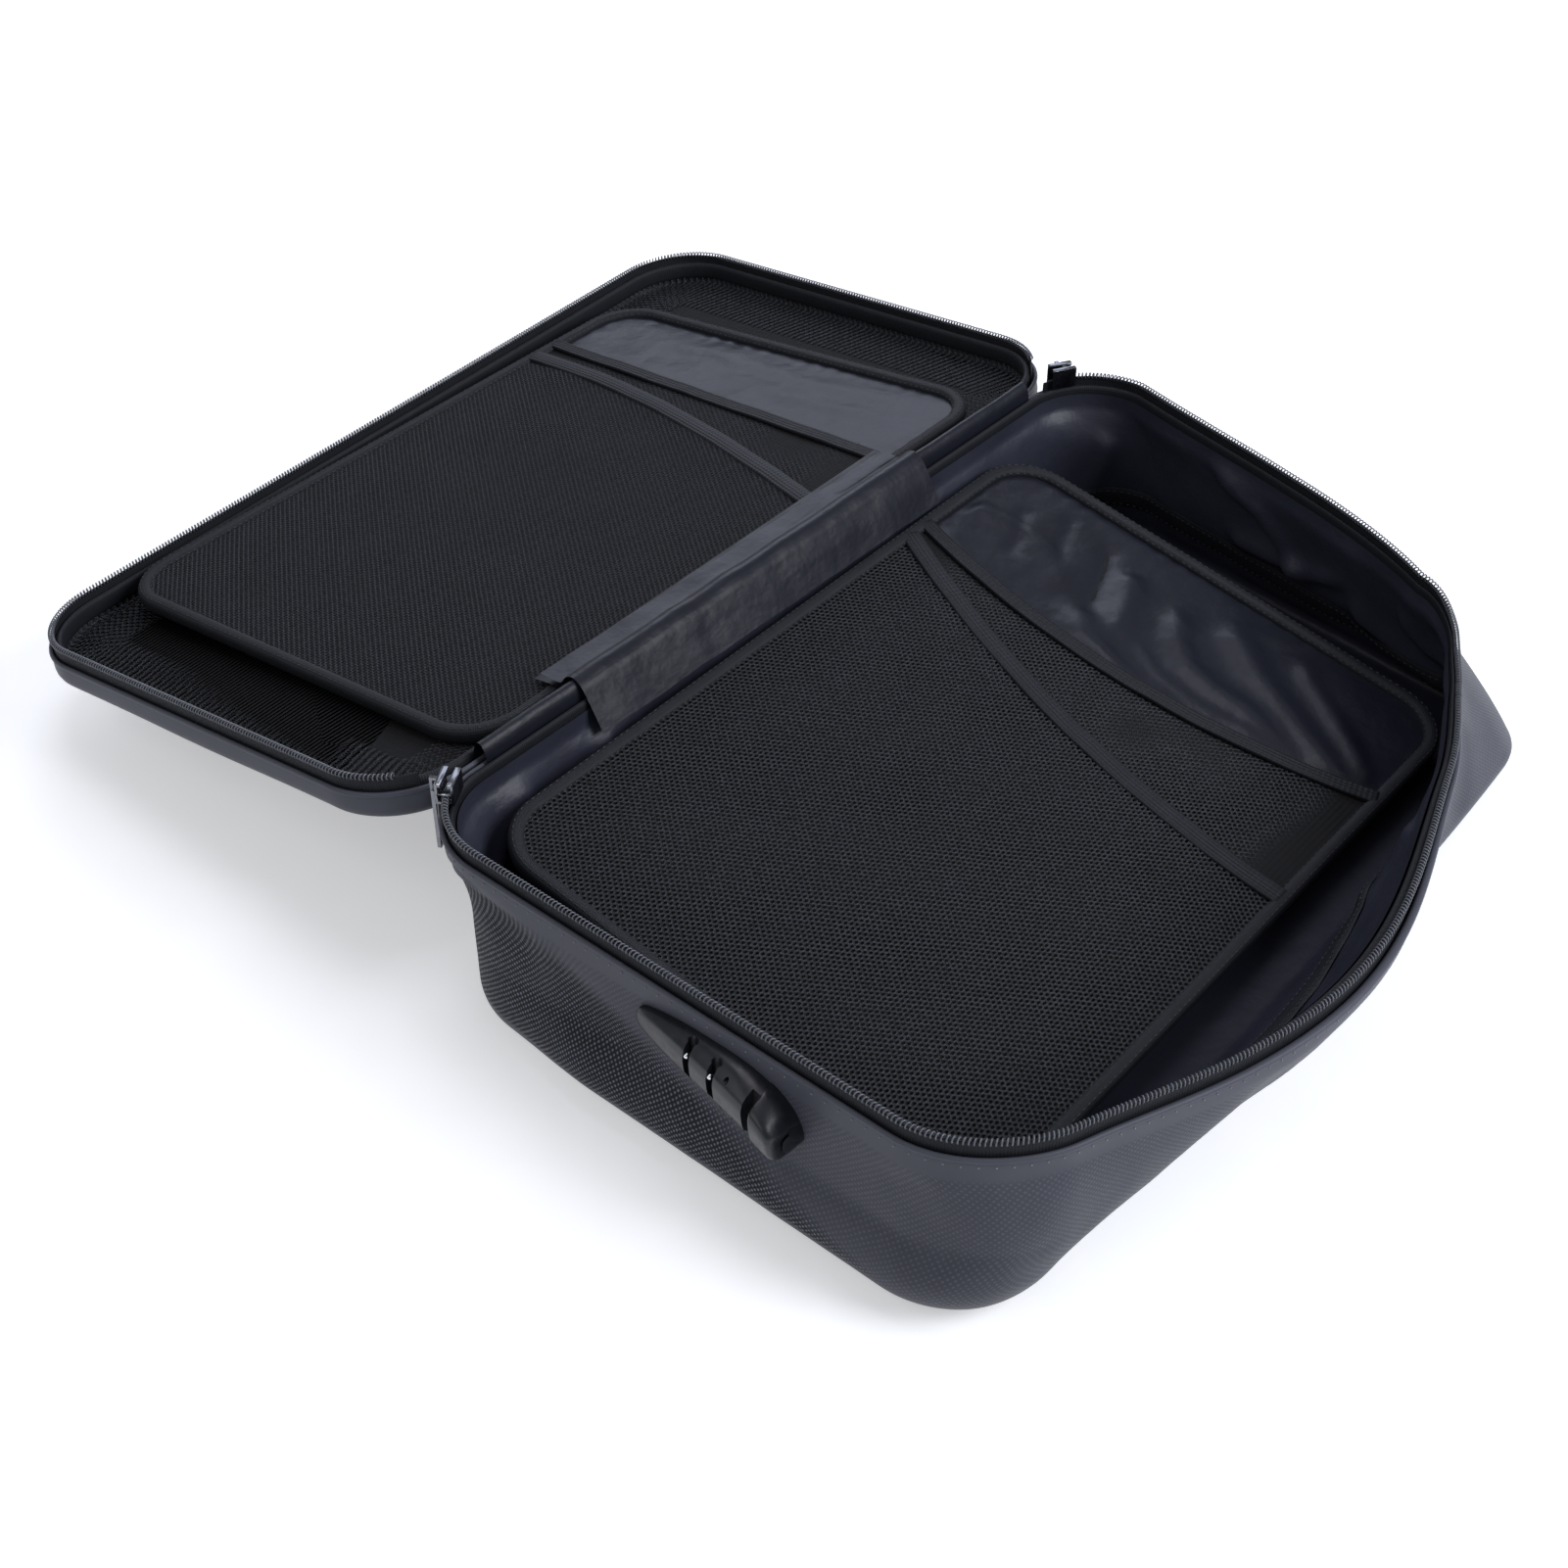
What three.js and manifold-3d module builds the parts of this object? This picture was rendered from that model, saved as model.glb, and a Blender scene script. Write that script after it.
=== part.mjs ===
// Fireproof document bag, lying open like a book: a deep base tray, a shallow lid folded back
// beside it, a zip with two sliders, two turning pocket pages and a combination lock.
// Millimetres. X runs across the bag with the hinge at -X, Y runs along the hinge with the
// locked short wall at -Y, and Z is up. The origin is the centre of the base's underside.

import * as THREE from 'three';
import { mergeVertices } from 'three/addons/utils/BufferGeometryUtils.js';
import Module from 'manifold-3d';

const wasm = await Module();
wasm.setup();

// Pocket pages carry A4 sheets, and the closed bag has its size from the room round the lid page
const pageWidth = 230;
const pageLength = 318;
const pageCorner = 26;
const roomBeside = 13;
const roomBeyond = 52;
const bagWidth = pageWidth + 2 * roomBeside;
const bagLength = pageLength + 2 * roomBeyond;
const baseDepth = 86;
const lidDepth = 20;
const cornerRadius = 38;
const baseEdgeRound = 12;
const lidEdgeRound = 6;

// Layers of the walls, from the outside in, with the running gap between them
const gap = 0.3;
const shellThick = 1.4;
const foamThick = 3;
const liningThick = 0.8;
const boardThick = 2.4;
const bindingThick = 1.6;
const bindingHeight = 8;

// Zip: cloth tape with a nylon coil along its edge
const tapeThick = 0.8;
const tapeVisible = 5;
const tapeSewn = 6;
const coilWide = 2.6;
const coilHigh = 2.05;
const wedgeHalf = 0.2;

// Hinge side, where the two shells lie back to back when the bag is open
const hingeSpace = 3.5;
const hingeClothThick = 0.8;
const hingeClothRise = 0.8;
const lidTilt = THREE.MathUtils.degToRad(6.8);
const lidSag = 12;
const lidDrawnFront = 14;
const lidDrawnBack = 3;

// Soft set of the open base: the free long side bows out, the back corner is drawn in
const sideBow = 39.5;
const sideBowCentre = -0.25;
const sideBowReach = 0.835;
const cornerDrawnAcross = 48;
const cornerDrawnAlong = 54;
const backDrawn = 5;
const floorDrawnAcross = 8;
const floorDrawnAlong = 26;
const hingeFlare = 6;
const hingeCornerDrawn = 6;
const flareSharpness = 6;
const rimDrop = 8;
const wallBulge = 8;
const frontBulge = 6;
const frontBulgeHeight = 36;
const leanEnd = 70;

// Where each soft shape fades in, as shares of the half width (across) or half length (along)
const backDraw = [0.29, 1.24];
const backWallDraw = [0.2, 0.8];
const acrossDraw = [-0.7, 0.7];
const hingeCornerFade = [0.8, 0.95];
const hingeSideFade = [-0.1, -0.6];
const swellAcross = [0.2, 1];
const swellAlong = [0.4, -0.3];
const bulgeAcross = [-0.9, -0.3];
const bulgeAlong = [-0.75, -0.95];
const dropAlong = [-1, -0.5];
const lidStiffShare = 0.15;

// Layers and places of the pages
const pageBoardThick = 2.4;
const pageClothThick = 0.8;
const pageMeshThick = 0.7;
const pageBindingProud = 0.3;
const pageBindingOverlap = 4.6;
const frontBandWidth = 9;
const rearBandWidth = 7;
const bandThick = 1.1;
const baseFrontMouth = { low: 20, rise: 56 };
const baseRearMouth = { low: 73, rise: 70, lowest: 0.45 };
const lidFrontMouth = { low: 44, rise: 47 };
const lidRearMouth = { low: 91, rise: 15 };
const basePageLonger = 18;
const basePageSpace = 7.5;
const basePageForward = 12;
const basePageBelowRim = 24;
const basePageTilt = THREE.MathUtils.degToRad(10.3);
const basePageTurn = THREE.MathUtils.degToRad(1);
const lidPageClear = 2.8;
const lidPageSpace = 2;
const lidPageBack = -4;
const sleeveReach = 13;
const sleeveUnder = 7;
const sleeveThick = 0.7;
const sleeveLength = 208;
const sleeveMiddle = -15;
const linkThick = 0.8;

// Zip sliders and their pulls
const sliderAngle = THREE.MathUtils.degToRad(30);
const sliderLong = 11;
const sliderHalfHigh = 4.5;
const sliderPlate = 1.2;
const sliderRoom = 2.4;
const sliderLip = 1.2;
const sliderWedge = 2.6;
const lipSlit = 1.3;
const crownWide = 1.6;
const crownThick = 1.2;
const crownHalfHigh = 3.4;
const pullThick = 1.4;
const pullWidth = 9;
const pullLength = 27;
const pullSlotWide = 3.6;
const pullSlotLong = 7.3;
const pullWindowWide = 6;
const pullWindowHigh = 1.8;
const pullWindowUp = 3.4;

// Combination lock on the short wall. A leaf-shaped housing whose face stands out more and more
// towards its right end, given by cross sections: share of its length, share of its depth, and
// the heights of its foot, ridge and top above the level of the ridge
const lockStart = -16;
const lockLong = 74;
const lockBelowRim = 21;
const lockRidge = baseDepth - lockBelowRim;
const lockDepth = 14;
const lockSections = [
  [0, 0.1, -7.5, -6, -4.5],
  [0.05, 0.17, -8.8, -2.5, 0.5],
  [0.22, 0.32, -9, 0, 3.5],
  [0.39, 0.47, -10.5, 0, 5],
  [0.65, 0.7, -19, 0, 6],
  [0.82, 0.86, -21.4, 0, 3],
  [0.93, 0.95, -20, -2, -1],
  [0.98, 0.82, -17.5, -6, -5],
  [1, 0.55, -14, -9, -8],
];
const lockEdge = 0.9;
const keyholes = [12, 24];
const keyholeSlot = 3.2;
const keyholeRound = 2.2;
const keyholeBack = 2.7;
const keyholeDeep = 9.5;
const keyholeLow = lockRidge - keyholeDeep;
const resetPinX = 29.5;
const resetPinOut = 4.6;
const resetPinRadius = 0.7;
const buttonFrom = 42.5;
const buttonTo = 55;
const buttonTravel = 2.5;
const buttonSpace = 0.5;
const buttonProud = 0.8;
const buttonSeat = 7.6;
const catchThick = 1;
const catchTall = 6;
const catchHigh = lockRidge - 2;
const catchLow = catchHigh - catchTall;
const catchStart = 5;
const catchArm = 3;
const tabWide = 1.5;
const pinRadius = 0.8;
const pinBelowRidge = 2.4;
const pinBehindFace = 2.2;
const pinReach = 1.2;
const dialRadius = 2.9;
const dialGroove = 0.3;
const dialRidges = 10;
const dialWide = 4;
const dialPitch = 5.4;
const dialCount = 3;
const dialFirst = new THREE.Vector3(24.5, 4.1, lockRidge - 13.8);
const dialSlope = THREE.MathUtils.degToRad(20);
const dialRoom = 0.4;
const shaftRadius = 0.8;
const shaftSeat = 1.2;
const backPlateThick = 1.4;
const backPlateEdge = 6;
const screws = [
  { x: -6, z: lockRidge - 4, bite: 2 },
  { x: 48, z: lockRidge - 14, bite: 5 },
];
const screwRadius = 1.3;
const screwHeadRadius = 2.4;
const screwHeadThick = 1.2;

// Points round the outline of the bag, in order from the middle of the hinge side
const hingeSteps = 3;
const cornerSteps = 6;
const frontSteps = 5;
const sideSteps = 12;
const backSteps = 7;

const half = { x: bagWidth / 2, y: bagLength / 2 };
const axisX = -half.x - hingeFlare - hingeSpace / 2;
const axisZ = baseDepth + gap;

// Zip level: each coil lies this far below its rim, which leaves room for the sliders' wedge
const coilDrop = wedgeHalf + gap / 2;

function finish(colour, roughness, metalness = 0) {
  return new THREE.MeshStandardMaterial({ color: colour, roughness, metalness });
}

const finishes = {
  coatedCloth: finish(0x2c2e38, 0.5),
  satin: finish(0x30323f, 0.38),
  mesh: finish(0x24272c, 0.8),
  tape: finish(0x26272d, 0.85),
  elastic: finish(0x2b2d33, 0.8),
  foam: finish(0x3b3c42, 0.9),
  board: finish(0x4a4740, 0.85),
  nylon: finish(0x17181c, 0.45),
  nickel: finish(0xb9bcc0, 0.28, 1),
  plastic: finish(0x23252b, 0.4),
  steel: finish(0xc9ccd0, 0.25, 1),
};

const bag = new THREE.Group();

function clamp(value) {
  return Math.min(1, Math.max(0, value));
}

// How far a value has gone from one end of a stretch to the other, straight or smoothly
function ramp(value, [from, to]) {
  return clamp((value - from) / (to - from));
}

function fade(value, stretch) {
  const s = ramp(value, stretch);
  return s * s * (3 - 2 * s);
}

// Adds one named sub-part to a group
function add(name, geometry, material, parent = bag) {
  const mesh = new THREE.Mesh(geometry, material);
  mesh.name = name;
  parent.add(mesh);
  return mesh;
}

// Closed body from equal rings of points, capped at both ends, with its faces outwards. The
// diagonal of each patch follows its rise, so that neighbouring layers stay side by side
function skin(rings, joined = false) {
  const count = rings[0].length;
  const points = rings.flat();
  const faces = [];
  const spans = joined ? rings.length : rings.length - 1;
  for (let i = 0; i < spans; i += 1) {
    const here = i * count;
    const next = ((i + 1) % rings.length) * count;
    for (let j = 0; j < count; j += 1) {
      const k = (j + 1) % count;
      const rise = points[here + k].z - points[here + j].z + points[next + j].z - points[here + j].z;
      if (rise < 0) {
        faces.push([here + j, here + k, next + j], [here + k, next + k, next + j]);
      } else {
        faces.push([here + j, here + k, next + k], [here + j, next + k, next + j]);
      }
    }
  }
  if (!joined) {
    const start = points.length;
    points.push(middle(rings[0]), middle(rings[rings.length - 1]));
    const last = (rings.length - 1) * count;
    for (let j = 0; j < count; j += 1) {
      const k = (j + 1) % count;
      faces.push([start, k, j], [start + 1, last + j, last + k]);
    }
  }
  return body(points, faces);
}

function middle(ring) {
  const centre = new THREE.Vector3();
  ring.forEach((point) => centre.add(point));
  return centre.divideScalar(ring.length);
}

function body(points, faces) {
  let volume = 0;
  for (const [a, b, c] of faces) {
    volume += points[a].dot(new THREE.Vector3().crossVectors(points[b], points[c]));
  }
  const order = volume < 0 ? faces.map(([a, b, c]) => [a, c, b]) : faces;
  const geometry = new THREE.BufferGeometry();
  const flat = points.flatMap((point) => [point.x, point.y, point.z]);
  geometry.setAttribute('position', new THREE.Float32BufferAttribute(flat, 3));
  geometry.setIndex(order.flat());
  return geometry;
}

// Solids for cuts and joins
function toSolid(geometry) {
  const bare = geometry.clone();
  bare.deleteAttribute('normal');
  bare.deleteAttribute('uv');
  const merged = mergeVertices(bare, 1e-4);
  return new wasm.Manifold(new wasm.Mesh({
    numProp: 3,
    vertProperties: new Float32Array(merged.attributes.position.array),
    triVerts: new Uint32Array(merged.index.array),
  }));
}

function fromSolid(solid) {
  const mesh = solid.getMesh();
  const geometry = new THREE.BufferGeometry();
  geometry.setAttribute('position', new THREE.Float32BufferAttribute(mesh.vertProperties, 3));
  geometry.setIndex(Array.from(mesh.triVerts));
  return geometry;
}

function cut(geometry, ...tools) {
  return fromSolid(tools.reduce((solid, tool) => solid.subtract(toSolid(tool)), toSolid(geometry)));
}

function join(...pieces) {
  const [first, ...rest] = pieces.map(toSolid);
  return fromSolid(rest.reduce((solid, piece) => solid.add(piece), first));
}

function block(x0, x1, y0, y1, z0, z1) {
  const geometry = new THREE.BoxGeometry(x1 - x0, y1 - y0, z1 - z0);
  return geometry.translate((x0 + x1) / 2, (y0 + y1) / 2, (z0 + z1) / 2);
}

// Round bar along X, from x0 to x1
function bar(radius, x0, x1, y, z, sides = 12) {
  const geometry = new THREE.CylinderGeometry(radius, radius, x1 - x0, sides);
  return geometry.rotateZ(Math.PI / 2).translate((x0 + x1) / 2, y, z);
}

// Outline of the bag at an inset from its outside, as a list of points
function outline(inset) {
  const x = half.x - inset;
  const y = half.y - inset;
  const radius = cornerRadius - inset;
  const points = [];
  const line = (x0, y0, x1, y1, steps) => {
    for (let i = 0; i < steps; i += 1) {
      points.push([x0 + ((x1 - x0) * i) / steps, y0 + ((y1 - y0) * i) / steps]);
    }
  };
  const corner = (cx, cy, from) => {
    for (let i = 0; i < cornerSteps; i += 1) {
      const angle = from + (Math.PI / 2) * (i / cornerSteps);
      points.push([cx + radius * Math.cos(angle), cy + radius * Math.sin(angle)]);
    }
  };
  line(-x, 0, -x, -y + radius, hingeSteps);
  corner(-x + radius, -y + radius, Math.PI);
  line(-x + radius, -y, x - radius, -y, frontSteps);
  corner(x - radius, -y + radius, -Math.PI / 2);
  line(x, -y + radius, x, y - radius, sideSteps);
  corner(x - radius, y - radius, 0);
  line(x - radius, y, -x + radius, y, backSteps);
  corner(-x + radius, y - radius, Math.PI / 2);
  line(-x, y - radius, -x, 0, hingeSteps);
  return points;
}

const outlineCount = outline(0).length;
const frontCorner = hingeSteps;
const backCorner = outlineCount - hingeSteps;

// How the open base has settled: a nominal point of the straight tray moves to its soft place
function softBase(x, y, z) {
  const u = x / half.x;
  const v = y / half.y;
  const lean = ramp(z, [baseEdgeRound, leanEnd]);
  const free = Math.max(0, u) ** 2;
  const back = fade(v, backDraw);
  const away = Math.abs(v - sideBowCentre) / sideBowReach;
  const bow = away < 1 ? sideBow * Math.cos((away * Math.PI) / 2) ** 2 : 0;
  const across = (bow - cornerDrawnAcross * back) * lean - floorDrawnAcross * back * (1 - lean);
  const drawn = cornerDrawnAlong * lean + floorDrawnAlong * (1 - lean);
  const along = drawn * ramp(u, acrossDraw) * back + backDrawn * fade(v, backWallDraw) * lean;
  const rim = lean ** flareSharpness;
  const corner = fade(Math.abs(v), hingeCornerFade);
  const flare = hingeFlare * rim - hingeCornerDrawn * corner * (1 - rim);
  const swell = wallBulge * Math.sin(Math.PI * clamp(z / leanEnd))
    * fade(u, swellAcross) * fade(v, swellAlong);
  const front = frontBulge * Math.sin(Math.PI * clamp(z / frontBulgeHeight))
    * fade(v, bulgeAlong) * fade(u, bulgeAcross);
  const drop = rimDrop * free * fade(v, dropAlong);
  return new THREE.Vector3(
    x + across * free - flare * fade(u, hingeSideFade) + swell,
    y - along - front,
    z - drop * lean * (z / baseDepth),
  );
}

// Lid frame: the hinge axis is at x = 0 and the lid lies towards -X with its rim at z = 0. The lid
// keeps its shape beside the hinge, so that both halves of the zip meet at the sliders' corners
function lidPlace(x, y, z) {
  const front = 0.5 - y / bagLength;
  const drawn = lidDrawnFront * front + lidDrawnBack * (1 - front);
  const out = hingeSpace / 2 + (x + half.x) * (1 - drawn / bagWidth);
  const soft = ramp(out / bagWidth, [lidStiffShare, 1]);
  const along = backDrawn * fade(y / half.y, backWallDraw) * (1 - soft);
  return new THREE.Vector3(-out, y - along, z - lidSag * soft * front);
}

const lidFrame = new THREE.Group();
lidFrame.position.set(axisX, 0, axisZ);
lidFrame.rotation.y = -lidTilt;
bag.add(lidFrame);

function tray(profile, place) {
  return skin(profile.map(([inset, z]) => outline(inset).map(([x, y]) => place(x, y, z))));
}

// Band of a fixed section that follows the outline from one point of it to another
function band(section, from, to, place) {
  const lines = section.map(([inset]) => outline(inset));
  const rings = [];
  for (let i = from; i <= to; i += 1) {
    const at = i % outlineCount;
    rings.push(section.map(([, z], k) => place(lines[k][at][0], lines[k][at][1], z)));
  }
  if (to - from === outlineCount) {
    rings.pop();
    return skin(rings, true);
  }
  return skin(rings);
}

function strip(inset, thick, low, high) {
  return [[inset, low], [inset, high], [inset + thick, high], [inset + thick, low]];
}

// Rounded section of the zip coil
function coilSection(inset, low) {
  const points = [];
  for (let i = 0; i < 8; i += 1) {
    const angle = Math.PI / 8 + (i * Math.PI) / 4;
    points.push([
      inset + (coilWide / 2) * (Math.cos(angle) / Math.cos(Math.PI / 8)),
      low + (coilHigh / 2) * (1 + Math.sin(angle) / Math.cos(Math.PI / 8)),
    ]);
  }
  return points;
}

// Tray walls with a rounded edge, outside and inside, up to a rim. All layers of the wall turn
// at the same levels, so they stay side by side where the wall leans
const wallLevels = [0, 1, 2, 3, 4, 5].map((i) => baseEdgeRound + (i * (leanEnd - baseEdgeRound)) / 5);

function trayProfile(outer, thick, floor, rim, round) {
  const inner = outer + thick;
  const edge = (inset, low, radius) => {
    const points = [];
    for (let i = 0; i <= 3; i += 1) {
      const angle = (Math.PI / 2) * (i / 3);
      points.push([inset + radius * (1 - Math.sin(angle)), low + radius * (1 - Math.cos(angle))]);
    }
    return points;
  };
  const wall = (inset, low, high) => [
    ...wallLevels.filter((level) => level > low + 1 && level < high - 1).map((z) => [inset, z]),
    [inset, high],
  ];
  const innerRound = Math.max(round - thick, 1);
  const outside = [...edge(outer, floor, round), ...wall(outer, floor + round, rim)];
  const inside = [
    ...edge(inner, floor + thick, innerRound),
    ...wall(inner, floor + thick + innerRound, rim),
  ];
  return [...outside, ...inside.reverse()];
}

// Insets and heights of the layers
const foamInset = shellThick + gap;
const liningInset = foamInset + foamThick + gap;
const tapeInset = shellThick + gap;
const tapeTop = baseDepth - coilDrop - coilHigh - gap;
const shellTop = tapeTop - tapeVisible;
const tapeLow = shellTop - tapeSewn;
const foamTop = tapeLow - gap;
const bindingInset = tapeInset + tapeThick + gap;
const coilInset = tapeInset + tapeThick / 2;

// Base tray: coated shell, foam, floor board and lining. Two screws hold the lock through the
// shell, and the lock's back plate lies in a window of the foam
const lockFront = -half.y - gap;
const lockBack = -half.y + shellThick + gap;
const plate = {
  x0: Math.min(...screws.map(({ x }) => x)) - backPlateEdge,
  x1: Math.max(...screws.map(({ x }) => x)) + backPlateEdge,
  z0: Math.min(...screws.map(({ z }) => z)) - backPlateEdge,
  z1: Math.max(...screws.map(({ z }) => z)) + backPlateEdge,
};

// Round bar along Y, from y0 to y1
function post(radius, x, y0, y1, z, sides = 16) {
  const geometry = new THREE.CylinderGeometry(radius, radius, y1 - y0, sides);
  return geometry.translate(x, (y0 + y1) / 2, z);
}

const screwHoles = screws.map(({ x, z }) => (
  post(screwRadius + gap, x, -half.y - shellThick, -half.y + 2 * shellThick, z)
));
const shell = tray(trayProfile(0, shellThick, 0, shellTop, baseEdgeRound), softBase);
add('base_shell', cut(shell, ...screwHoles), finishes.coatedCloth);

const foamFloor = shellThick + gap;
const plateWindow = block(
  plate.x0 - gap, plate.x1 + gap, lockBack - 1, lockBack + foamThick + 1,
  plate.z0 - gap, plate.z1 + gap,
);
const foamProfile = trayProfile(foamInset, foamThick, foamFloor, foamTop, baseEdgeRound - foamInset);
add('base_foam', cut(tray(foamProfile, softBase), plateWindow), finishes.foam);

const boardFloor = foamFloor + foamThick + gap;
const baseBoard = skin([boardFloor, boardFloor + boardThick].map(
  (z) => outline(baseEdgeRound).map(([x, y]) => softBase(x, y, z)),
));
add('base_floor_board', baseBoard, finishes.board);

const liningFloor = boardFloor + boardThick + gap;
const liningTop = shellTop - gap;
add('base_lining', tray(
  trayProfile(liningInset, liningThick, liningFloor, liningTop, baseEdgeRound - liningFloor),
  softBase,
), finishes.satin);

// Base rim: seam binding, zip tape and coil, from one end of the hinge to the other
const coilFrom = frontCorner + 2;
const coilTo = backCorner - 2;
add('base_rim_binding', band(
  strip(bindingInset, bindingThick, tapeLow, tapeLow + bindingHeight),
  0, outlineCount, softBase,
), finishes.tape);
add('base_zip_tape', band(
  strip(tapeInset, tapeThick, tapeLow, tapeTop), frontCorner + 1, backCorner - 1, softBase,
), finishes.tape);
add('base_zip_coil', band(
  coilSection(coilInset, baseDepth - coilDrop - coilHigh), coilFrom, coilTo, softBase,
), finishes.nylon);

// Lid: coated shell, board, mesh lining, binding, zip tape and coil, in the lid frame
const lidShellTop = shellTop - baseDepth;
const lidTapeTop = tapeTop - baseDepth;
const lidTapeLow = lidShellTop - tapeSewn + shellThick;
add('lid_shell', tray(
  trayProfile(0, shellThick, -lidDepth, lidShellTop, lidEdgeRound), lidPlace,
), finishes.coatedCloth, lidFrame);

const lidBoardFloor = -lidDepth + shellThick + gap;
const lidBoard = skin([lidBoardFloor, lidBoardFloor + boardThick].map(
  (z) => outline(lidEdgeRound).map(([x, y]) => lidPlace(x, y, z)),
));
add('lid_board', lidBoard, finishes.board, lidFrame);

const lidLiningInset = bindingInset + bindingThick + gap;
const lidLiningFloor = lidBoardFloor + boardThick + gap;
const lidLiningTop = lidShellTop - gap;
add('lid_mesh_lining', tray(
  trayProfile(lidLiningInset, liningThick, lidLiningFloor, lidLiningTop, 2), lidPlace,
), finishes.mesh, lidFrame);
add('lid_rim_binding', band(
  strip(bindingInset, bindingThick, lidTapeLow, lidShellTop + 2), 0, outlineCount, lidPlace,
), finishes.tape, lidFrame);
add('lid_zip_tape', band(
  strip(tapeInset, tapeThick, lidTapeLow, lidTapeTop), frontCorner + 2, backCorner - 2, lidPlace,
), finishes.tape, lidFrame);
add('lid_zip_coil', band(
  coilSection(coilInset, -coilDrop - coilHigh), frontCorner + 3, backCorner - 3, lidPlace,
), finishes.nylon, lidFrame);

// Hinge cloth: an arch over the two back to back shells, between the two ends of the zip
const hingeClothHalf = half.y - cornerRadius - backDrawn;
function hingeCloth() {
  const inner = hingeSpace / 2 + shellThick + gap;
  const outer = inner + hingeClothThick;
  const legTop = shellTop + gap - axisZ;
  const rise = hingeClothRise - legTop;
  const arch = (radiusX, radiusZ) => {
    const points = [[radiusX, tapeLow - axisZ]];
    for (let i = 0; i <= 6; i += 1) {
      const angle = (Math.PI * i) / 6;
      points.push([radiusX * Math.cos(angle), legTop + radiusZ * Math.sin(angle)]);
    }
    points.push([-radiusX, lidTapeLow]);
    return points.map(([x, z]) => {
      const turned = x < 0 ? lidTilt : 0;
      return new THREE.Vector2(
        x * Math.cos(turned) - z * Math.sin(turned), x * Math.sin(turned) + z * Math.cos(turned),
      );
    });
  };
  const section = [...arch(outer, rise), ...arch(inner, rise - hingeClothThick).reverse()];
  const geometry = new THREE.ExtrudeGeometry(new THREE.Shape(section), {
    depth: 2 * hingeClothHalf, steps: 1, bevelEnabled: false,
  });
  return geometry.rotateX(Math.PI / 2).translate(axisX, hingeClothHalf, axisZ);
}
add('hinge_cloth', hingeCloth(), finishes.satin);

// Zip sliders. Local frame: x along the zip, y outwards, z up, origin midway between the coils.
// The wedge that parts the coils joins both plates at the leading end
function sliderBody(lead) {
  const outer = sliderRoom + sliderPlate;
  const end = sliderLong / 2;
  const plates = [-1, 1].map((side) => {
    const plate = block(-end, end, sliderRoom, outer, -sliderHalfHigh, sliderHalfHigh);
    return side > 0 ? plate : plate.rotateZ(Math.PI);
  });
  const lips = [];
  for (const side of [-1, 1]) {
    for (const level of [-1, 1]) {
      const y = [side * lipSlit, side * (sliderRoom + 0.2)].sort((a, b) => a - b);
      const z = [level * (sliderHalfHigh - sliderLip), level * sliderHalfHigh].sort((a, b) => a - b);
      lips.push(block(-end, end, y[0], y[1], z[0], z[1]));
    }
  }
  const [wedgeFrom, wedgeTo] = [lead * end, lead * (end - sliderWedge)].sort((a, b) => a - b);
  const wedge = block(wedgeFrom, wedgeTo, -outer + 0.2, outer - 0.2, -wedgeHalf, wedgeHalf);
  const crownOut = outer + 2.1 + crownThick;
  const crown = cut(
    block(-crownWide / 2, crownWide / 2, outer - 0.2, crownOut, -crownHalfHigh, crownHalfHigh),
    block(-crownWide, crownWide, outer, crownOut - crownThick,
      -crownHalfHigh + crownThick, crownHalfHigh - crownThick),
  );
  return join(...plates, ...lips, wedge, crown);
}

// Pull: a cross bar through the slider's crown, two arms and a flat tag with a window
function sliderPull() {
  const side = pullWidth / 2;
  const radius = pullThick / 2;
  const tag = new THREE.Shape();
  tag.moveTo(-side, 0.1);
  tag.lineTo(-side, -pullLength + 1);
  tag.quadraticCurveTo(-side, -pullLength, -side + 1, -pullLength);
  tag.lineTo(side - 1, -pullLength);
  tag.quadraticCurveTo(side, -pullLength, side, -pullLength + 1);
  tag.lineTo(side, 0.1);
  tag.closePath();
  const hole = (x, low, high) => {
    const path = new THREE.Path();
    path.moveTo(-x, low);
    path.lineTo(x, low);
    path.lineTo(x, high);
    path.lineTo(-x, high);
    path.closePath();
    return path;
  };
  const windowLow = -pullLength + pullWindowUp;
  tag.holes.push(hole(pullSlotWide / 2, -pullSlotLong, -0.3));
  tag.holes.push(hole(pullWindowWide / 2, windowLow, windowLow + pullWindowHigh));
  const plate = new THREE.ExtrudeGeometry(tag, {
    depth: pullThick, steps: 1, bevelEnabled: false, curveSegments: 4,
  });
  plate.rotateX(Math.PI / 2).translate(0, pullThick / 2, 0);
  return join(plate, bar(radius, -side, side, 0, 0, 8));
}

const sliderMiddle = baseDepth + gap / 2;
const arcRadius = cornerRadius - coilInset;
const pullStandOff = sliderRoom + sliderPlate + 2.1 / 2;

function addSlider(name, cornerY, angle, lead) {
  const frame = new THREE.Group();
  const cornerX = -half.x + cornerRadius - hingeFlare;
  const outwards = new THREE.Vector2(-Math.cos(angle), Math.sin(angle));
  frame.position.set(
    cornerX + arcRadius * outwards.x, cornerY + arcRadius * outwards.y, sliderMiddle,
  );
  frame.rotation.z = Math.atan2(outwards.y, outwards.x) - Math.PI / 2;
  bag.add(frame);
  add(`${name}_slider`, sliderBody(lead), finishes.nickel, frame);
  const pull = add(`${name}_pull`, sliderPull(), finishes.nickel, frame);
  pull.position.set(0, pullStandOff, 0);
}
addSlider('front', -half.y + cornerRadius, -sliderAngle, -1);
addSlider('back', half.y - cornerRadius - backDrawn, sliderAngle, 1);

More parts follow.
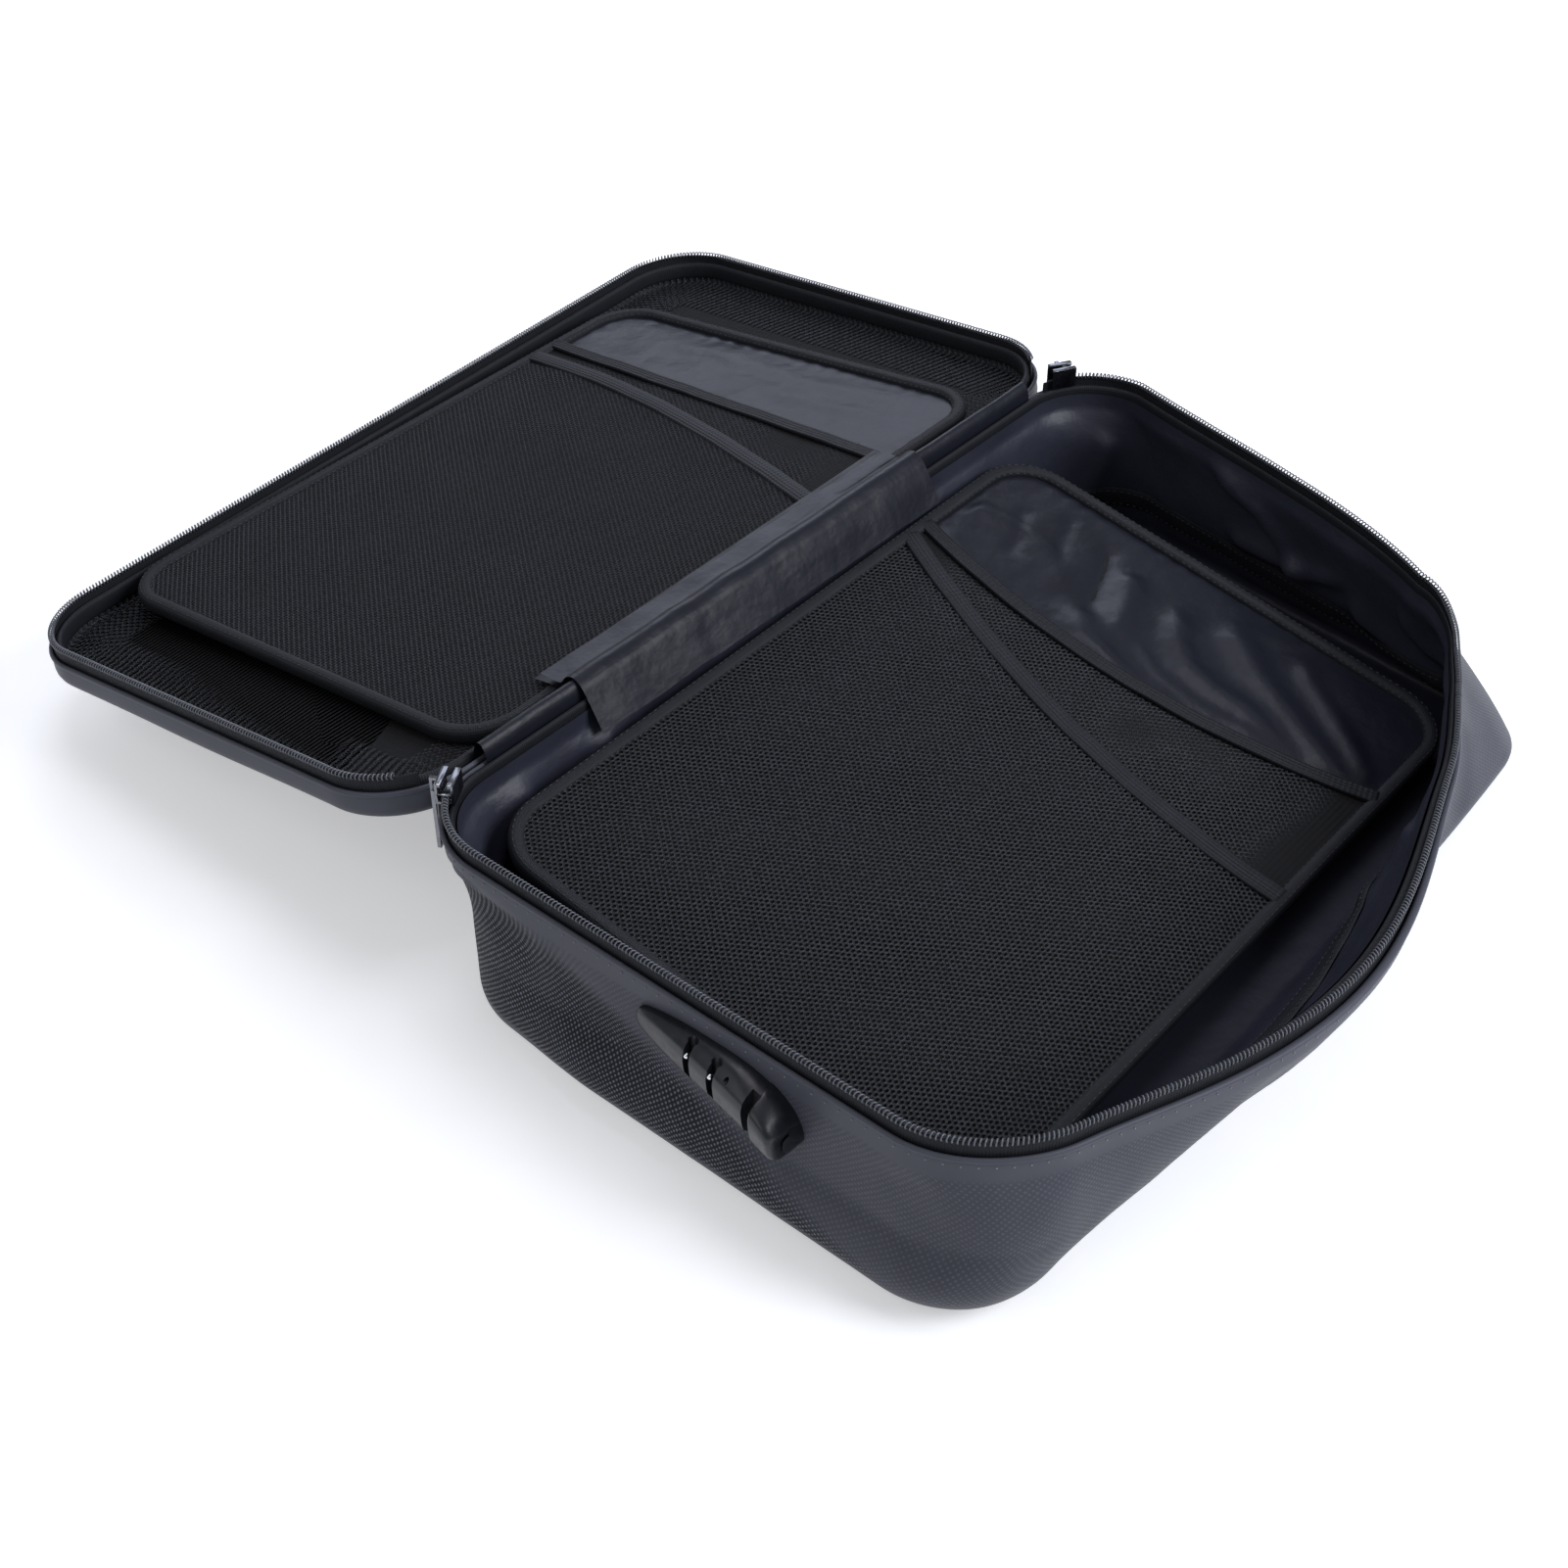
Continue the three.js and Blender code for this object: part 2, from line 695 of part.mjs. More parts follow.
// Pocket pages. Page frame: hinge edge at x = 0, page towards +X, underside at z = 0. A page
// may be longer at its near end, towards -Y
const boardLow = pageBindingProud;
const backingLow = boardLow + pageBoardThick + gap;
const rearLow = backingLow + pageClothThick + gap;
const frontLow = rearLow + pageMeshThick + gap;
const pageTop = frontLow + bandThick + pageBindingProud;

function roundedPage(inset, longer) {
  const radius = pageCorner - inset;
  const x0 = inset;
  const x1 = pageWidth - inset;
  const y = pageLength / 2 - inset;
  const near = -y - longer;
  const shape = new THREE.Shape();
  shape.moveTo(x0 + radius, near);
  shape.lineTo(x1 - radius, near);
  shape.absarc(x1 - radius, near + radius, radius, -Math.PI / 2, 0);
  shape.lineTo(x1, y - radius);
  shape.absarc(x1 - radius, y - radius, radius, 0, Math.PI / 2);
  shape.lineTo(x0 + radius, y);
  shape.absarc(x0 + radius, y - radius, radius, Math.PI / 2, Math.PI);
  shape.lineTo(x0, near + radius);
  shape.absarc(x0 + radius, near + radius, radius, Math.PI, Math.PI * 1.5);
  return shape;
}

function flatPiece(shape, low, thick) {
  const geometry = new THREE.ExtrudeGeometry(shape, {
    depth: thick, steps: 1, bevelEnabled: false, curveSegments: 5,
  });
  return geometry.translate(0, 0, low);
}

// Pocket mouth as a height along the page for each share of its width, from the hinge edge
const pocketMouths = {
  base: {
    front: (s) => baseFrontMouth.low + baseFrontMouth.rise * (1 - s) ** 2,
    rear: (s) => baseRearMouth.low + baseRearMouth.rise * (s - baseRearMouth.lowest) ** 2,
  },
  lid: {
    front: (s) => lidFrontMouth.low + lidFrontMouth.rise * Math.sin((Math.PI / 2) * s),
    rear: (s) => lidRearMouth.low + lidRearMouth.rise * s,
  },
};

const mouthSteps = 8;

function mouthPoints(mouth, inset) {
  const points = [];
  for (let i = 0; i <= mouthSteps; i += 1) {
    const s = i / mouthSteps;
    points.push(new THREE.Vector2(inset + (pageWidth - 2 * inset) * s, mouth(s)));
  }
  return points;
}

// Mesh pocket: the page's shape below the mouth's band
function pocket(mouth, inset, longer, low, below) {
  const radius = pageCorner - inset;
  const near = inset - pageLength / 2 - longer;
  const shape = new THREE.Shape();
  shape.moveTo(inset + radius, near);
  shape.lineTo(pageWidth - inset - radius, near);
  shape.absarc(pageWidth - inset - radius, near + radius, radius, -Math.PI / 2, 0);
  mouthPoints(mouth, inset).reverse().forEach((p) => shape.lineTo(p.x, p.y - below));
  shape.lineTo(inset, near + radius);
  shape.absarc(inset + radius, near + radius, radius, Math.PI, Math.PI * 1.5);
  return flatPiece(shape, low, pageMeshThick);
}

// Elastic band along a pocket's mouth
function mouthBand(mouth, inset, low, bandWidth) {
  const lower = mouthPoints((s) => mouth(s) - bandWidth / 2, inset);
  const upper = mouthPoints((s) => mouth(s) + bandWidth / 2, inset).reverse();
  return flatPiece(new THREE.Shape([...lower, ...upper]), low, bandThick);
}

const layerInset = pageBindingOverlap + gap;

// A page lies towards +X, or mirrored towards -X
function addPage(name, frame, mouths, longer, mirrored) {
  const put = (part, geometry, material) => {
    if (mirrored) geometry.applyMatrix4(new THREE.Matrix4().makeScale(-1, 1, 1));
    add(`${name}_${part}`, outwardFaces(geometry), material, frame);
  };
  const layer = roundedPage(layerInset, longer);
  put('board', flatPiece(layer, boardLow, pageBoardThick), finishes.board);
  put('backing', flatPiece(layer, backingLow, pageClothThick), finishes.satin);
  const bindingShape = roundedPage(0, longer);
  bindingShape.holes.push(roundedPage(layerInset - gap, longer));
  put('binding', flatPiece(bindingShape, 0, pageTop), finishes.tape);
  put('rear_pocket', pocket(mouths.rear, layerInset, longer, rearLow, 0), finishes.mesh);
  put('front_pocket', pocket(
    mouths.front, layerInset, longer, frontLow, frontBandWidth / 2 + gap,
  ), finishes.mesh);
  put('rear_band', mouthBand(mouths.rear, layerInset, frontLow, rearBandWidth), finishes.elastic);
  put('front_band', mouthBand(mouths.front, layerInset, frontLow, frontBandWidth), finishes.elastic);
}

// The same body with its faces outwards, also after it is mirrored
function outwardFaces(geometry) {
  const bare = geometry.clone();
  bare.deleteAttribute('normal');
  bare.deleteAttribute('uv');
  const merged = mergeVertices(bare, 1e-4);
  const position = merged.attributes.position;
  const points = [];
  for (let i = 0; i < position.count; i += 1) {
    points.push(new THREE.Vector3().fromBufferAttribute(position, i));
  }
  const corners = merged.index.array;
  const faces = [];
  for (let i = 0; i < corners.length; i += 3) {
    faces.push([corners[i], corners[i + 1], corners[i + 2]]);
  }
  return body(points, faces);
}

const basePage = new THREE.Group();
basePage.position.set(-half.x + basePageSpace, -basePageForward, baseDepth - basePageBelowRim);
basePage.rotation.set(0, basePageTilt, basePageTurn, 'ZYX');
bag.add(basePage);
addPage('base_page', basePage, pocketMouths.base, basePageLonger, false);

const lidPage = new THREE.Group();
const lidPageLow = lidLiningFloor + liningThick + gap + lidPageClear;
const lidPageEdge = -hingeSpace / 2 - lidLiningInset - liningThick - lidPageSpace;
lidPage.position.set(lidPageEdge, lidPageBack, lidPageLow);
lidPage.rotation.set(lidSag / (2 * bagLength), -lidSag / (2 * bagWidth), 0);
lidFrame.add(lidPage);
addPage('lid_page', lidPage, pocketMouths.lid, 0, true);

// Sleeve: cloth folded round the hinge edge of the lid page and sewn to it
function pageSleeve() {
  const inner = [
    [-sleeveReach, pageTop + gap], [gap, pageTop + gap], [gap, -gap], [-sleeveUnder, -gap],
  ];
  const outer = [
    [-sleeveUnder, -gap - sleeveThick], [gap + sleeveThick, -gap - sleeveThick],
    [gap + sleeveThick, pageTop + gap + sleeveThick],
    [-sleeveReach, pageTop + gap + sleeveThick],
  ];
  const shape = new THREE.Shape([...inner, ...outer].map(([x, z]) => new THREE.Vector2(x, z)));
  const geometry = new THREE.ExtrudeGeometry(shape, {
    depth: sleeveLength, steps: 1, bevelEnabled: false,
  });
  return geometry.rotateX(Math.PI / 2).translate(0, sleeveMiddle - lidPageBack + sleeveLength / 2, 0);
}
add('lid_page_sleeve', outwardFaces(pageSleeve()), finishes.satin, lidPage);

// Link: a strip of the same cloth from the lid page's sleeve over the hinge to the base page
function pageLink() {
  bag.updateMatrixWorld(true);
  const lidEnd = lidPage.localToWorld(new THREE.Vector3(
    2 * gap + sleeveThick, 0, pageTop + gap + sleeveThick / 2,
  ));
  const baseEnd = basePage.localToWorld(new THREE.Vector3(-2 * gap - linkThick, 0, pageTop));
  const top = axisZ + hingeClothRise + gap + linkThick / 2;
  const side = hingeSpace / 2 + shellThick + hingeClothThick + 2 * gap + linkThick / 2;
  const shoulder = shellTop + bindingHeight - tapeSewn + gap + linkThick;
  const route = new THREE.CatmullRomCurve3([
    new THREE.Vector3(lidEnd.x + linkThick / 2, 0, lidEnd.z),
    new THREE.Vector3(axisX - side * 0.86, 0, (shoulder + top) / 2 + 1),
    new THREE.Vector3(axisX, 0, top),
    new THREE.Vector3(axisX + side * 0.86, 0, (shoulder + top) / 2 + 1),
    new THREE.Vector3(axisX + side + 2.4, 0, shoulder),
    new THREE.Vector3(baseEnd.x, 0, baseEnd.z),
  ]);
  const steps = 20;
  const over = [];
  const under = [];
  for (let i = 0; i <= steps; i += 1) {
    const point = route.getPoint(i / steps);
    const along = route.getTangent(i / steps);
    over.push(new THREE.Vector2(point.x - along.z * (linkThick / 2), point.z + along.x * (linkThick / 2)));
    under.push(new THREE.Vector2(point.x + along.z * (linkThick / 2), point.z - along.x * (linkThick / 2)));
  }
  const geometry = new THREE.ExtrudeGeometry(new THREE.Shape([...over, ...under.reverse()]), {
    depth: sleeveLength, steps: 1, bevelEnabled: false,
  });
  return geometry.rotateX(Math.PI / 2).translate(0, sleeveMiddle + sleeveLength / 2, 0);
}
add('page_link', outwardFaces(pageLink()), finishes.satin);

// Lock frame: x along the wall, y out of it from the shell's face, z up
const lock = new THREE.Group();
lock.position.set(0, lockFront, 0);
bag.add(lock);

// Cross section of the housing at a place along it, between its given sections
function housingAt(x) {
  const share = (x - lockStart) / lockLong;
  const at = Math.max(1, lockSections.findIndex(([place]) => place >= share - 1e-9));
  const [before, after] = [lockSections[at - 1], lockSections[at]];
  const mix = (share - before[0]) / (after[0] - before[0]);
  const [, out, low, ridge, top] = before.map((value, i) => value + (after[i] - value) * mix);
  return { out: out * lockDepth, low: lockRidge + low, ridge: lockRidge + ridge, top: lockRidge + top };
}

// Outline of that section from a depth behind the face outwards, standing proud of it
function housingRing(x, from, proud) {
  const { out, low, ridge, top } = housingAt(x);
  const edge = Math.min(lockEdge, out / 3);
  const share = from / out;
  return [
    [from, top + (ridge - top) * share + proud],
    [out + proud - edge, ridge + proud + (top - ridge) * (edge / out)],
    [out + proud, ridge - edge],
    [out + proud, low + edge],
    [out + proud - edge, low],
    [from, low + edge * (1 - share)],
  ].map(([y, z]) => new THREE.Vector3(x, -y, z));
}

function lockBlock(x0, x1, out0, out1, z0, z1) {
  return block(x0, x1, -out1, -out0, z0, z1);
}

const slotEdge = keyholeSlot / 2;
const pins = keyholes.map((x) => {
  const { out, ridge } = housingAt(x);
  return { x, out: out - pinBehindFace, z: ridge - pinBelowRidge };
});
const tabs = pins.map(({ x, out, z }) => ({
  x0: x - slotEdge - tabWide - pinReach,
  x1: x - slotEdge - pinReach,
  out: out + pinRadius,
  z0: z - 2 * pinRadius,
  z1: z + pinRadius,
}));
const armFrom = buttonFrom + gap;
const armTo = armFrom + catchArm;

// Axis of the three dials, sloping with the housing's foot
function dialPlace(along) {
  return new THREE.Vector3(
    dialFirst.x + along * Math.cos(dialSlope), -dialFirst.y, dialFirst.z - along * Math.sin(dialSlope),
  );
}

function onDialAxis(geometry, along) {
  const place = dialPlace(along);
  return geometry.rotateY(dialSlope).translate(place.x, place.y, place.z);
}

const dialSpan = (dialCount - 1) * dialPitch;
const dialBay = dialSpan + dialWide + 2 * dialRoom;

function lockHousing() {
  const stations = lockSections.map(([share]) => lockStart + share * lockLong);
  const housing = skin(stations.map((x) => housingRing(x, 0, 0)));
  const cuts = [];
  for (const x of keyholes) {
    cuts.push(lockBlock(x - slotEdge, x + slotEdge, keyholeBack, 2 * lockDepth, keyholeLow, 2 * lockRidge));
    const round = new THREE.CylinderGeometry(keyholeRound, keyholeRound, lockRidge, 16);
    cuts.push(round.translate(x, -keyholeBack, keyholeLow + lockRidge / 2));
  }
  for (const tab of tabs) {
    cuts.push(lockBlock(
      tab.x0 - buttonTravel - gap, tab.x1 + pinReach + gap, -1, tab.out + gap,
      tab.z0 - gap, tab.z1 + gap,
    ));
  }
  cuts.push(lockBlock(
    catchStart - buttonTravel - gap, armTo + gap, -1, catchThick + 2 * gap, catchLow - gap, catchHigh + gap,
  ));
  cuts.push(lockBlock(
    armFrom - buttonTravel - gap, armTo + gap, -1, buttonSeat + gap, catchLow - gap, catchHigh + gap,
  ));
  cuts.push(lockBlock(
    buttonFrom - buttonTravel - buttonSpace, buttonTo + gap, buttonSeat, 2 * lockDepth,
    0, 2 * lockRidge,
  ));
  const reset = new THREE.CylinderGeometry(resetPinRadius, resetPinRadius, lockDepth, 10);
  cuts.push(reset.translate(resetPinX, -resetPinOut, lockRidge + lockDepth / 2 + 1));
  const room = dialRadius + dialRoom;
  cuts.push(onDialAxis(
    block(-dialBay / 2, dialBay / 2, -room, room, -3 * room, room), dialSpan / 2,
  ));
  const seat = dialBay / 2 + shaftSeat;
  cuts.push(onDialAxis(bar(shaftRadius + gap, -seat, seat, 0, 0), dialSpan / 2));
  for (const { x, z, bite } of screws) {
    cuts.push(post(screwRadius + gap, x, -bite - gap, 1, z));
  }
  return cut(housing, ...cuts);
}
add('lock_body', lockHousing(), finishes.plastic, lock);

// Button on the face, and the catch behind it with a pin through each keyhole's slot
const buttonSteps = 4;
const buttonRings = [];
for (let i = 0; i <= buttonSteps; i += 1) {
  const x = buttonFrom + ((buttonTo - buttonFrom) * i) / buttonSteps;
  buttonRings.push(housingRing(x, buttonSeat + gap, buttonProud));
}
add('lock_button', skin(buttonRings), finishes.plastic, lock);

function lockCatch() {
  const plateOfCatch = lockBlock(catchStart, armTo, gap, gap + catchThick, catchLow, catchHigh);
  const arm = lockBlock(armFrom, armTo, gap, buttonSeat, catchLow, catchHigh);
  const held = tabs.map((tab) => lockBlock(tab.x0, tab.x1, gap, tab.out, tab.z0, tab.z1));
  const studs = pins.map(({ x, out, z }) => (
    bar(pinRadius, x - slotEdge - pinReach - tabWide / 2, x - slotEdge + pinReach, -out, z)
  ));
  return join(plateOfCatch, arm, ...held, ...studs);
}
add('lock_catch', lockCatch(), finishes.steel, lock);

// Dials with grooved rims, loose on one fixed shaft
function dial() {
  const shape = new THREE.Shape();
  for (let i = 0; i < 2 * dialRidges; i += 1) {
    const angle = (Math.PI * i) / dialRidges;
    const radius = i % 2 === 0 ? dialRadius : dialRadius - dialGroove;
    const [y, z] = [radius * Math.cos(angle), radius * Math.sin(angle)];
    if (i === 0) shape.moveTo(y, z);
    else shape.lineTo(y, z);
  }
  shape.closePath();
  const hole = new THREE.Path();
  hole.absarc(0, 0, shaftRadius + gap, 0, 2 * Math.PI, true);
  shape.holes.push(hole);
  const geometry = new THREE.ExtrudeGeometry(shape, {
    depth: dialWide, steps: 1, bevelEnabled: false, curveSegments: 10,
  });
  return geometry.translate(0, 0, -dialWide / 2).rotateY(Math.PI / 2);
}
for (let i = 0; i < dialCount; i += 1) {
  add(`lock_dial_${i + 1}`, outwardFaces(onDialAxis(dial(), i * dialPitch)), finishes.plastic, lock);
}
const shaftEnd = dialBay / 2 + shaftSeat - gap;
add('lock_dial_shaft', onDialAxis(
  bar(shaftRadius, -shaftEnd, shaftEnd, 0, 0), dialSpan / 2,
), finishes.steel, lock);

// Back plate inside the shell, and its screws
const backPlate = block(
  plate.x0, plate.x1, lockBack, lockBack + backPlateThick, plate.z0, plate.z1,
);
add('lock_back_plate', cut(backPlate, ...screws.map(({ x, z }) => (
  post(screwRadius + gap, x, lockBack - 1, lockBack + backPlateThick + 1, z)
))), finishes.steel);
screws.forEach(({ x, z, bite }, i) => {
  const head = lockBack + backPlateThick + gap;
  add(`lock_screw_${i + 1}`, join(
    post(screwRadius, x, lockFront - bite, head + screwHeadThick / 2, z),
    post(screwHeadRadius, x, head, head + screwHeadThick, z),
  ), finishes.steel);
});

export default bag;
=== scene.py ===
"""Looks of a fireproof document bag that lies open like a book.

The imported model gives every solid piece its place. This script puts woven, sewn and moulded
surfaces on it: cloth shells, a satin lining with folds, zips with single teeth, pocket pages with
real nets, a moulded lock, and a plain studio round it. Shapes are worked out in millimetres.
"""

import math

import bmesh
import bpy
import numpy as np
from mathutils import Matrix, Vector


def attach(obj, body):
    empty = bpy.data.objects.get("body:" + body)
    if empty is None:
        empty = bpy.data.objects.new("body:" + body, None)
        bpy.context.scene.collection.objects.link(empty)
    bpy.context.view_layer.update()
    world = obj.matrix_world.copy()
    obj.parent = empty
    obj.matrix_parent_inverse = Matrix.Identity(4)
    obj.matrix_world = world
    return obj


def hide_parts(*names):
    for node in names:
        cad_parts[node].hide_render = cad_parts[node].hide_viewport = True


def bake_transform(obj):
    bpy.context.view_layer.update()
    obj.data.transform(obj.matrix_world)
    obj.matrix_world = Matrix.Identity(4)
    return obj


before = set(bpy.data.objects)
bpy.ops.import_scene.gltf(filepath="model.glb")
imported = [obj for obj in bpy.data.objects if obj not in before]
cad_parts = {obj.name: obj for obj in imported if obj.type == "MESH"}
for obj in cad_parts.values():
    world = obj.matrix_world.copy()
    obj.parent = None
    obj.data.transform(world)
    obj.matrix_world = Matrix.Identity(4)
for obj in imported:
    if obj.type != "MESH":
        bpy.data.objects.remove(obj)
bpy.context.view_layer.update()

bl_info = {
    "name": "Fireproof document bag",
    "version": (1, 0, 0),
    "blender": (4, 5, 0),
    "location": "View3D > Sidebar > Bag",
    "description": "Builds the cloth, zips, pages, lock and studio of an open document bag",
    "category": "Object",
}

MM = 0.001

# Sizes of the bag, in millimetres, as the frame has them
HALF_X = 128.0
HALF_Y = 211.0
BASE_DEPTH = 86.0
LID_DEPTH = 20.0
CORNER = 38.0
BASE_EDGE = 12.0
LID_EDGE = 6.0
GAP = 0.3
SHELL = 1.4
FOAM = 3.0
LINING = 0.8
BOARD = 2.4
BINDING = 1.6
BINDING_HIGH = 8.0
TAPE = 0.8
TAPE_SHOWN = 5.0
TAPE_SEWN = 6.0
COIL_HIGH = 2.05
COIL_DROP = 0.35

# Hinge side and the lid's soft set
HINGE_SPACE = 3.5
HINGE_CLOTH = 0.8
LID_TILT = math.radians(6.8)
LID_SAG = 12.0
LID_DRAWN_FRONT = 14.0
LID_DRAWN_BACK = 3.0
LID_STIFF = 0.15
BACK_DRAWN = 5.0
HINGE_FLARE = 6.0

# How the open base has settled: the free side's bow, how far its back corner is drawn in at the rim and
# at the floor, the bulges of the free and front walls, and the free rim's drop
FREE_BOW = 39.5
BACK_ACROSS = 48.0
BACK_ACROSS_FLOOR = 8.0
BACK_ALONG = 54.0
BACK_ALONG_FLOOR = 26.0
FREE_BULGE = 8.0
FRONT_BULGE = 6.0
FREE_DROP = 8.0

AXIS_X = -HALF_X - HINGE_FLARE - HINGE_SPACE / 2
AXIS_Z = BASE_DEPTH + GAP

# Insets and heights of the layers of the walls
FOAM_INSET = SHELL + GAP
LINING_INSET = FOAM_INSET + FOAM + GAP
TAPE_INSET = SHELL + GAP
TAPE_TOP = BASE_DEPTH - COIL_DROP - COIL_HIGH - GAP
SHELL_TOP = TAPE_TOP - TAPE_SHOWN
TAPE_LOW = SHELL_TOP - TAPE_SEWN
FOAM_TOP = TAPE_LOW - GAP
BINDING_INSET = TAPE_INSET + TAPE + GAP
COIL_INSET = TAPE_INSET + TAPE / 2
BOARD_FLOOR = FOAM_INSET + FOAM + GAP
LINING_FLOOR = BOARD_FLOOR + BOARD + GAP
LID_SHELL_TOP = SHELL_TOP - BASE_DEPTH
LID_TAPE_TOP = TAPE_TOP - BASE_DEPTH
LID_TAPE_LOW = LID_SHELL_TOP - TAPE_SEWN + SHELL
LID_LINING_INSET = BINDING_INSET + BINDING + GAP
LID_LINING_FLOOR = -LID_DEPTH + SHELL + GAP + BOARD + GAP

# Pages and what joins them
PAGE_WIDE = 230.0
PAGE_LONG = 318.0
PAGE_FAR = PAGE_LONG / 2
# The base page reaches further towards the front wall
PAGE_NEAR = {"base_page": PAGE_FAR + 18.0, "lid_page": PAGE_FAR}
PAGE_CORNER = 26.0
PAGE_CORNER_STEPS = 26
PAGE_EDGE = 4.6
PAGE_BOUND = 6.2
PAGE_TOP = 6.5
BACKING_TOP = 3.8
REAR_NET = 4.2
FRONT_NET = 5.2
BAND_LOW = 5.1
BAND_THICK = 1.1
FRONT_BAND = 9.0
REAR_BAND = 7.0
BASE_PAGE_AT = (-HALF_X + 7.5, -12.0, BASE_DEPTH - 24.0)
BASE_PAGE_TILT = math.radians(10.3)
BASE_PAGE_TURN = math.radians(1.0)
LID_PAGE_AT = (
    -HINGE_SPACE / 2 - LID_LINING_INSET - LINING - 2.0,
    -4.0,
    LID_LINING_FLOOR + LINING + GAP + 2.8,
)
SLEEVE_LONG = 208.0
SLEEVE_MIDDLE = -15.0

# Strips of the coated cloth without weave, as distances down the cloth from its hidden hem
HEM = 9.0
SMOOTH_TOP = HEM + 10.0
SMOOTH_LOW = HEM + SHELL_TOP - 11.0

# Threads of the coated cloth; its dashes are twice as long, as the photograph shows them
CLOTH_THREAD = 1.2

# The weave and its painted glints and shade are full between a slanted border, which falls by this share of
# the way along the front wall, and a start: the part of the wall where light catches the threads. The rest
# of the wall and the floors show only a part of its depth and of its painted glints and shade
GLINT_FALL = 0.34
GLINT_BORDER = (-68.0, -58.0)
GLINT_START = (60.0, 150.0)
WEAVE_AWAY_FROM_GLINTS = 0.22
FLOOR_WEAVE = 0.45

# Floats of the satin: their length and how far they are apart; real ones are finer and wouldn't show
FLOAT_LONG = 6.0
FLOAT_APART = 0.4

# The floor of a tray is told from its walls by this distance added to its place on the cloth
FLOOR_MARK = 3000.0

# Net: how far its columns of holes stand apart for each step along a column
NET_NARROWING = 0.733

# Steps round the outline: half the hinge side, each corner, front, free side and back
HINGE_STEPS = 36
CORNER_STEPS = 30
FRONT_STEPS = 60
SIDE_STEPS = 120
BACK_STEPS = 63
ROUND = 2 * HINGE_STEPS + 4 * CORNER_STEPS + FRONT_STEPS + SIDE_STEPS + BACK_STEPS
FRONT_CORNER = HINGE_STEPS
BACK_CORNER = ROUND - HINGE_STEPS
STATION = CORNER_STEPS // 6
# Rings from the edge of a tray's floor to its middle
FLOOR_RINGS = 14


def ramp(value, start, end):
    """How far a value has gone from start to end, from 0 to 1."""
    return np.clip((np.asarray(value, float) - start) / (end - start), 0, 1)


def fade(value, start, end):
    """The same with a soft start and end."""
    share = ramp(value, start, end)
    return share * share * (3 - 2 * share)


def soft_base(points):
    """The open base has settled: points of the straight tray move to their soft places."""
    x, y, z = np.moveaxis(np.asarray(points, float), -1, 0)
    u = x / HALF_X
    v = y / HALF_Y
    lean = ramp(z, BASE_EDGE, 70)
    free = np.maximum(0, u) ** 2
    back = fade(v, 0.29, 1.24)
    away = np.minimum(1, np.abs(v + 0.25) / 0.835)
    bow = FREE_BOW * np.cos(away * math.pi / 2) ** 2
    across = (bow - BACK_ACROSS * back) * lean - BACK_ACROSS_FLOOR * back * (1 - lean)
    along = (BACK_ALONG * lean + BACK_ALONG_FLOOR * (1 - lean)) * ramp(u, -0.7, 0.7) * back
    along = along + BACK_DRAWN * fade(v, 0.2, 0.8) * lean
    rim = lean**6
    flare = HINGE_FLARE * rim - HINGE_FLARE * fade(np.abs(v), 0.8, 0.95) * (1 - rim)
    swell = FREE_BULGE * np.sin(math.pi * ramp(z, 0, 70)) * fade(u, 0.2, 1) * fade(v, 0.4, -0.3)
    front = FRONT_BULGE * np.sin(math.pi * ramp(z, 0, 36)) * fade(v, -0.75, -0.95) * fade(u, -0.9, -0.3)
    drop = FREE_DROP * free * fade(v, -1, -0.5)
    return np.stack([
        x + across * free - flare * fade(u, -0.1, -0.6) + swell,
        y - along - front,
        z - drop * lean * (z / BASE_DEPTH),
    ], -1)


def from_lid(points):
    """Points of the lid's own frame, hinge axis at x = 0, in the bag's frame."""
    x, y, z = np.moveaxis(np.asarray(points, float), -1, 0)
    c, s = math.cos(LID_TILT), math.sin(LID_TILT)
    return np.stack([AXIS_X + x * c - z * s, y, AXIS_Z + x * s + z * c], -1)


def soft_lid(points):
    """Points of a straight tray at their places in the open, slightly sagging lid."""
    x, y, z = np.moveaxis(np.asarray(points, float), -1, 0)
    front = 0.5 - y / (2 * HALF_Y)
    drawn = LID_DRAWN_FRONT * front + LID_DRAWN_BACK * (1 - front)
    out = HINGE_SPACE / 2 + (x + HALF_X) * (1 - drawn / (2 * HALF_X))
    soft = ramp(out / (2 * HALF_X), LID_STIFF, 1)
    along = BACK_DRAWN * fade(y / HALF_Y, 0.2, 0.8) * (1 - soft)
    return from_lid(np.stack([-out, y - along, z - LID_SAG * soft * front], -1))


def turn(axis, angle):
    return np.array(Matrix.Rotation(angle, 3, axis))


def on_base_page(points):
    """Points of a page's own frame, hinge edge at x = 0, at the base page's place."""
    turned = turn("Z", BASE_PAGE_TURN) @ turn("Y", BASE_PAGE_TILT)
    return np.asarray(points, float) @ turned.T + np.array(BASE_PAGE_AT)


def on_lid_page(points):
    turned = turn("X", LID_SAG / (4 * HALF_Y)) @ turn("Y", -LID_SAG / (4 * HALF_X))
    mirrored = np.asarray(points, float) * np.array([-1, 1, 1])
    return from_lid(mirrored @ turned.T + np.array(LID_PAGE_AT))


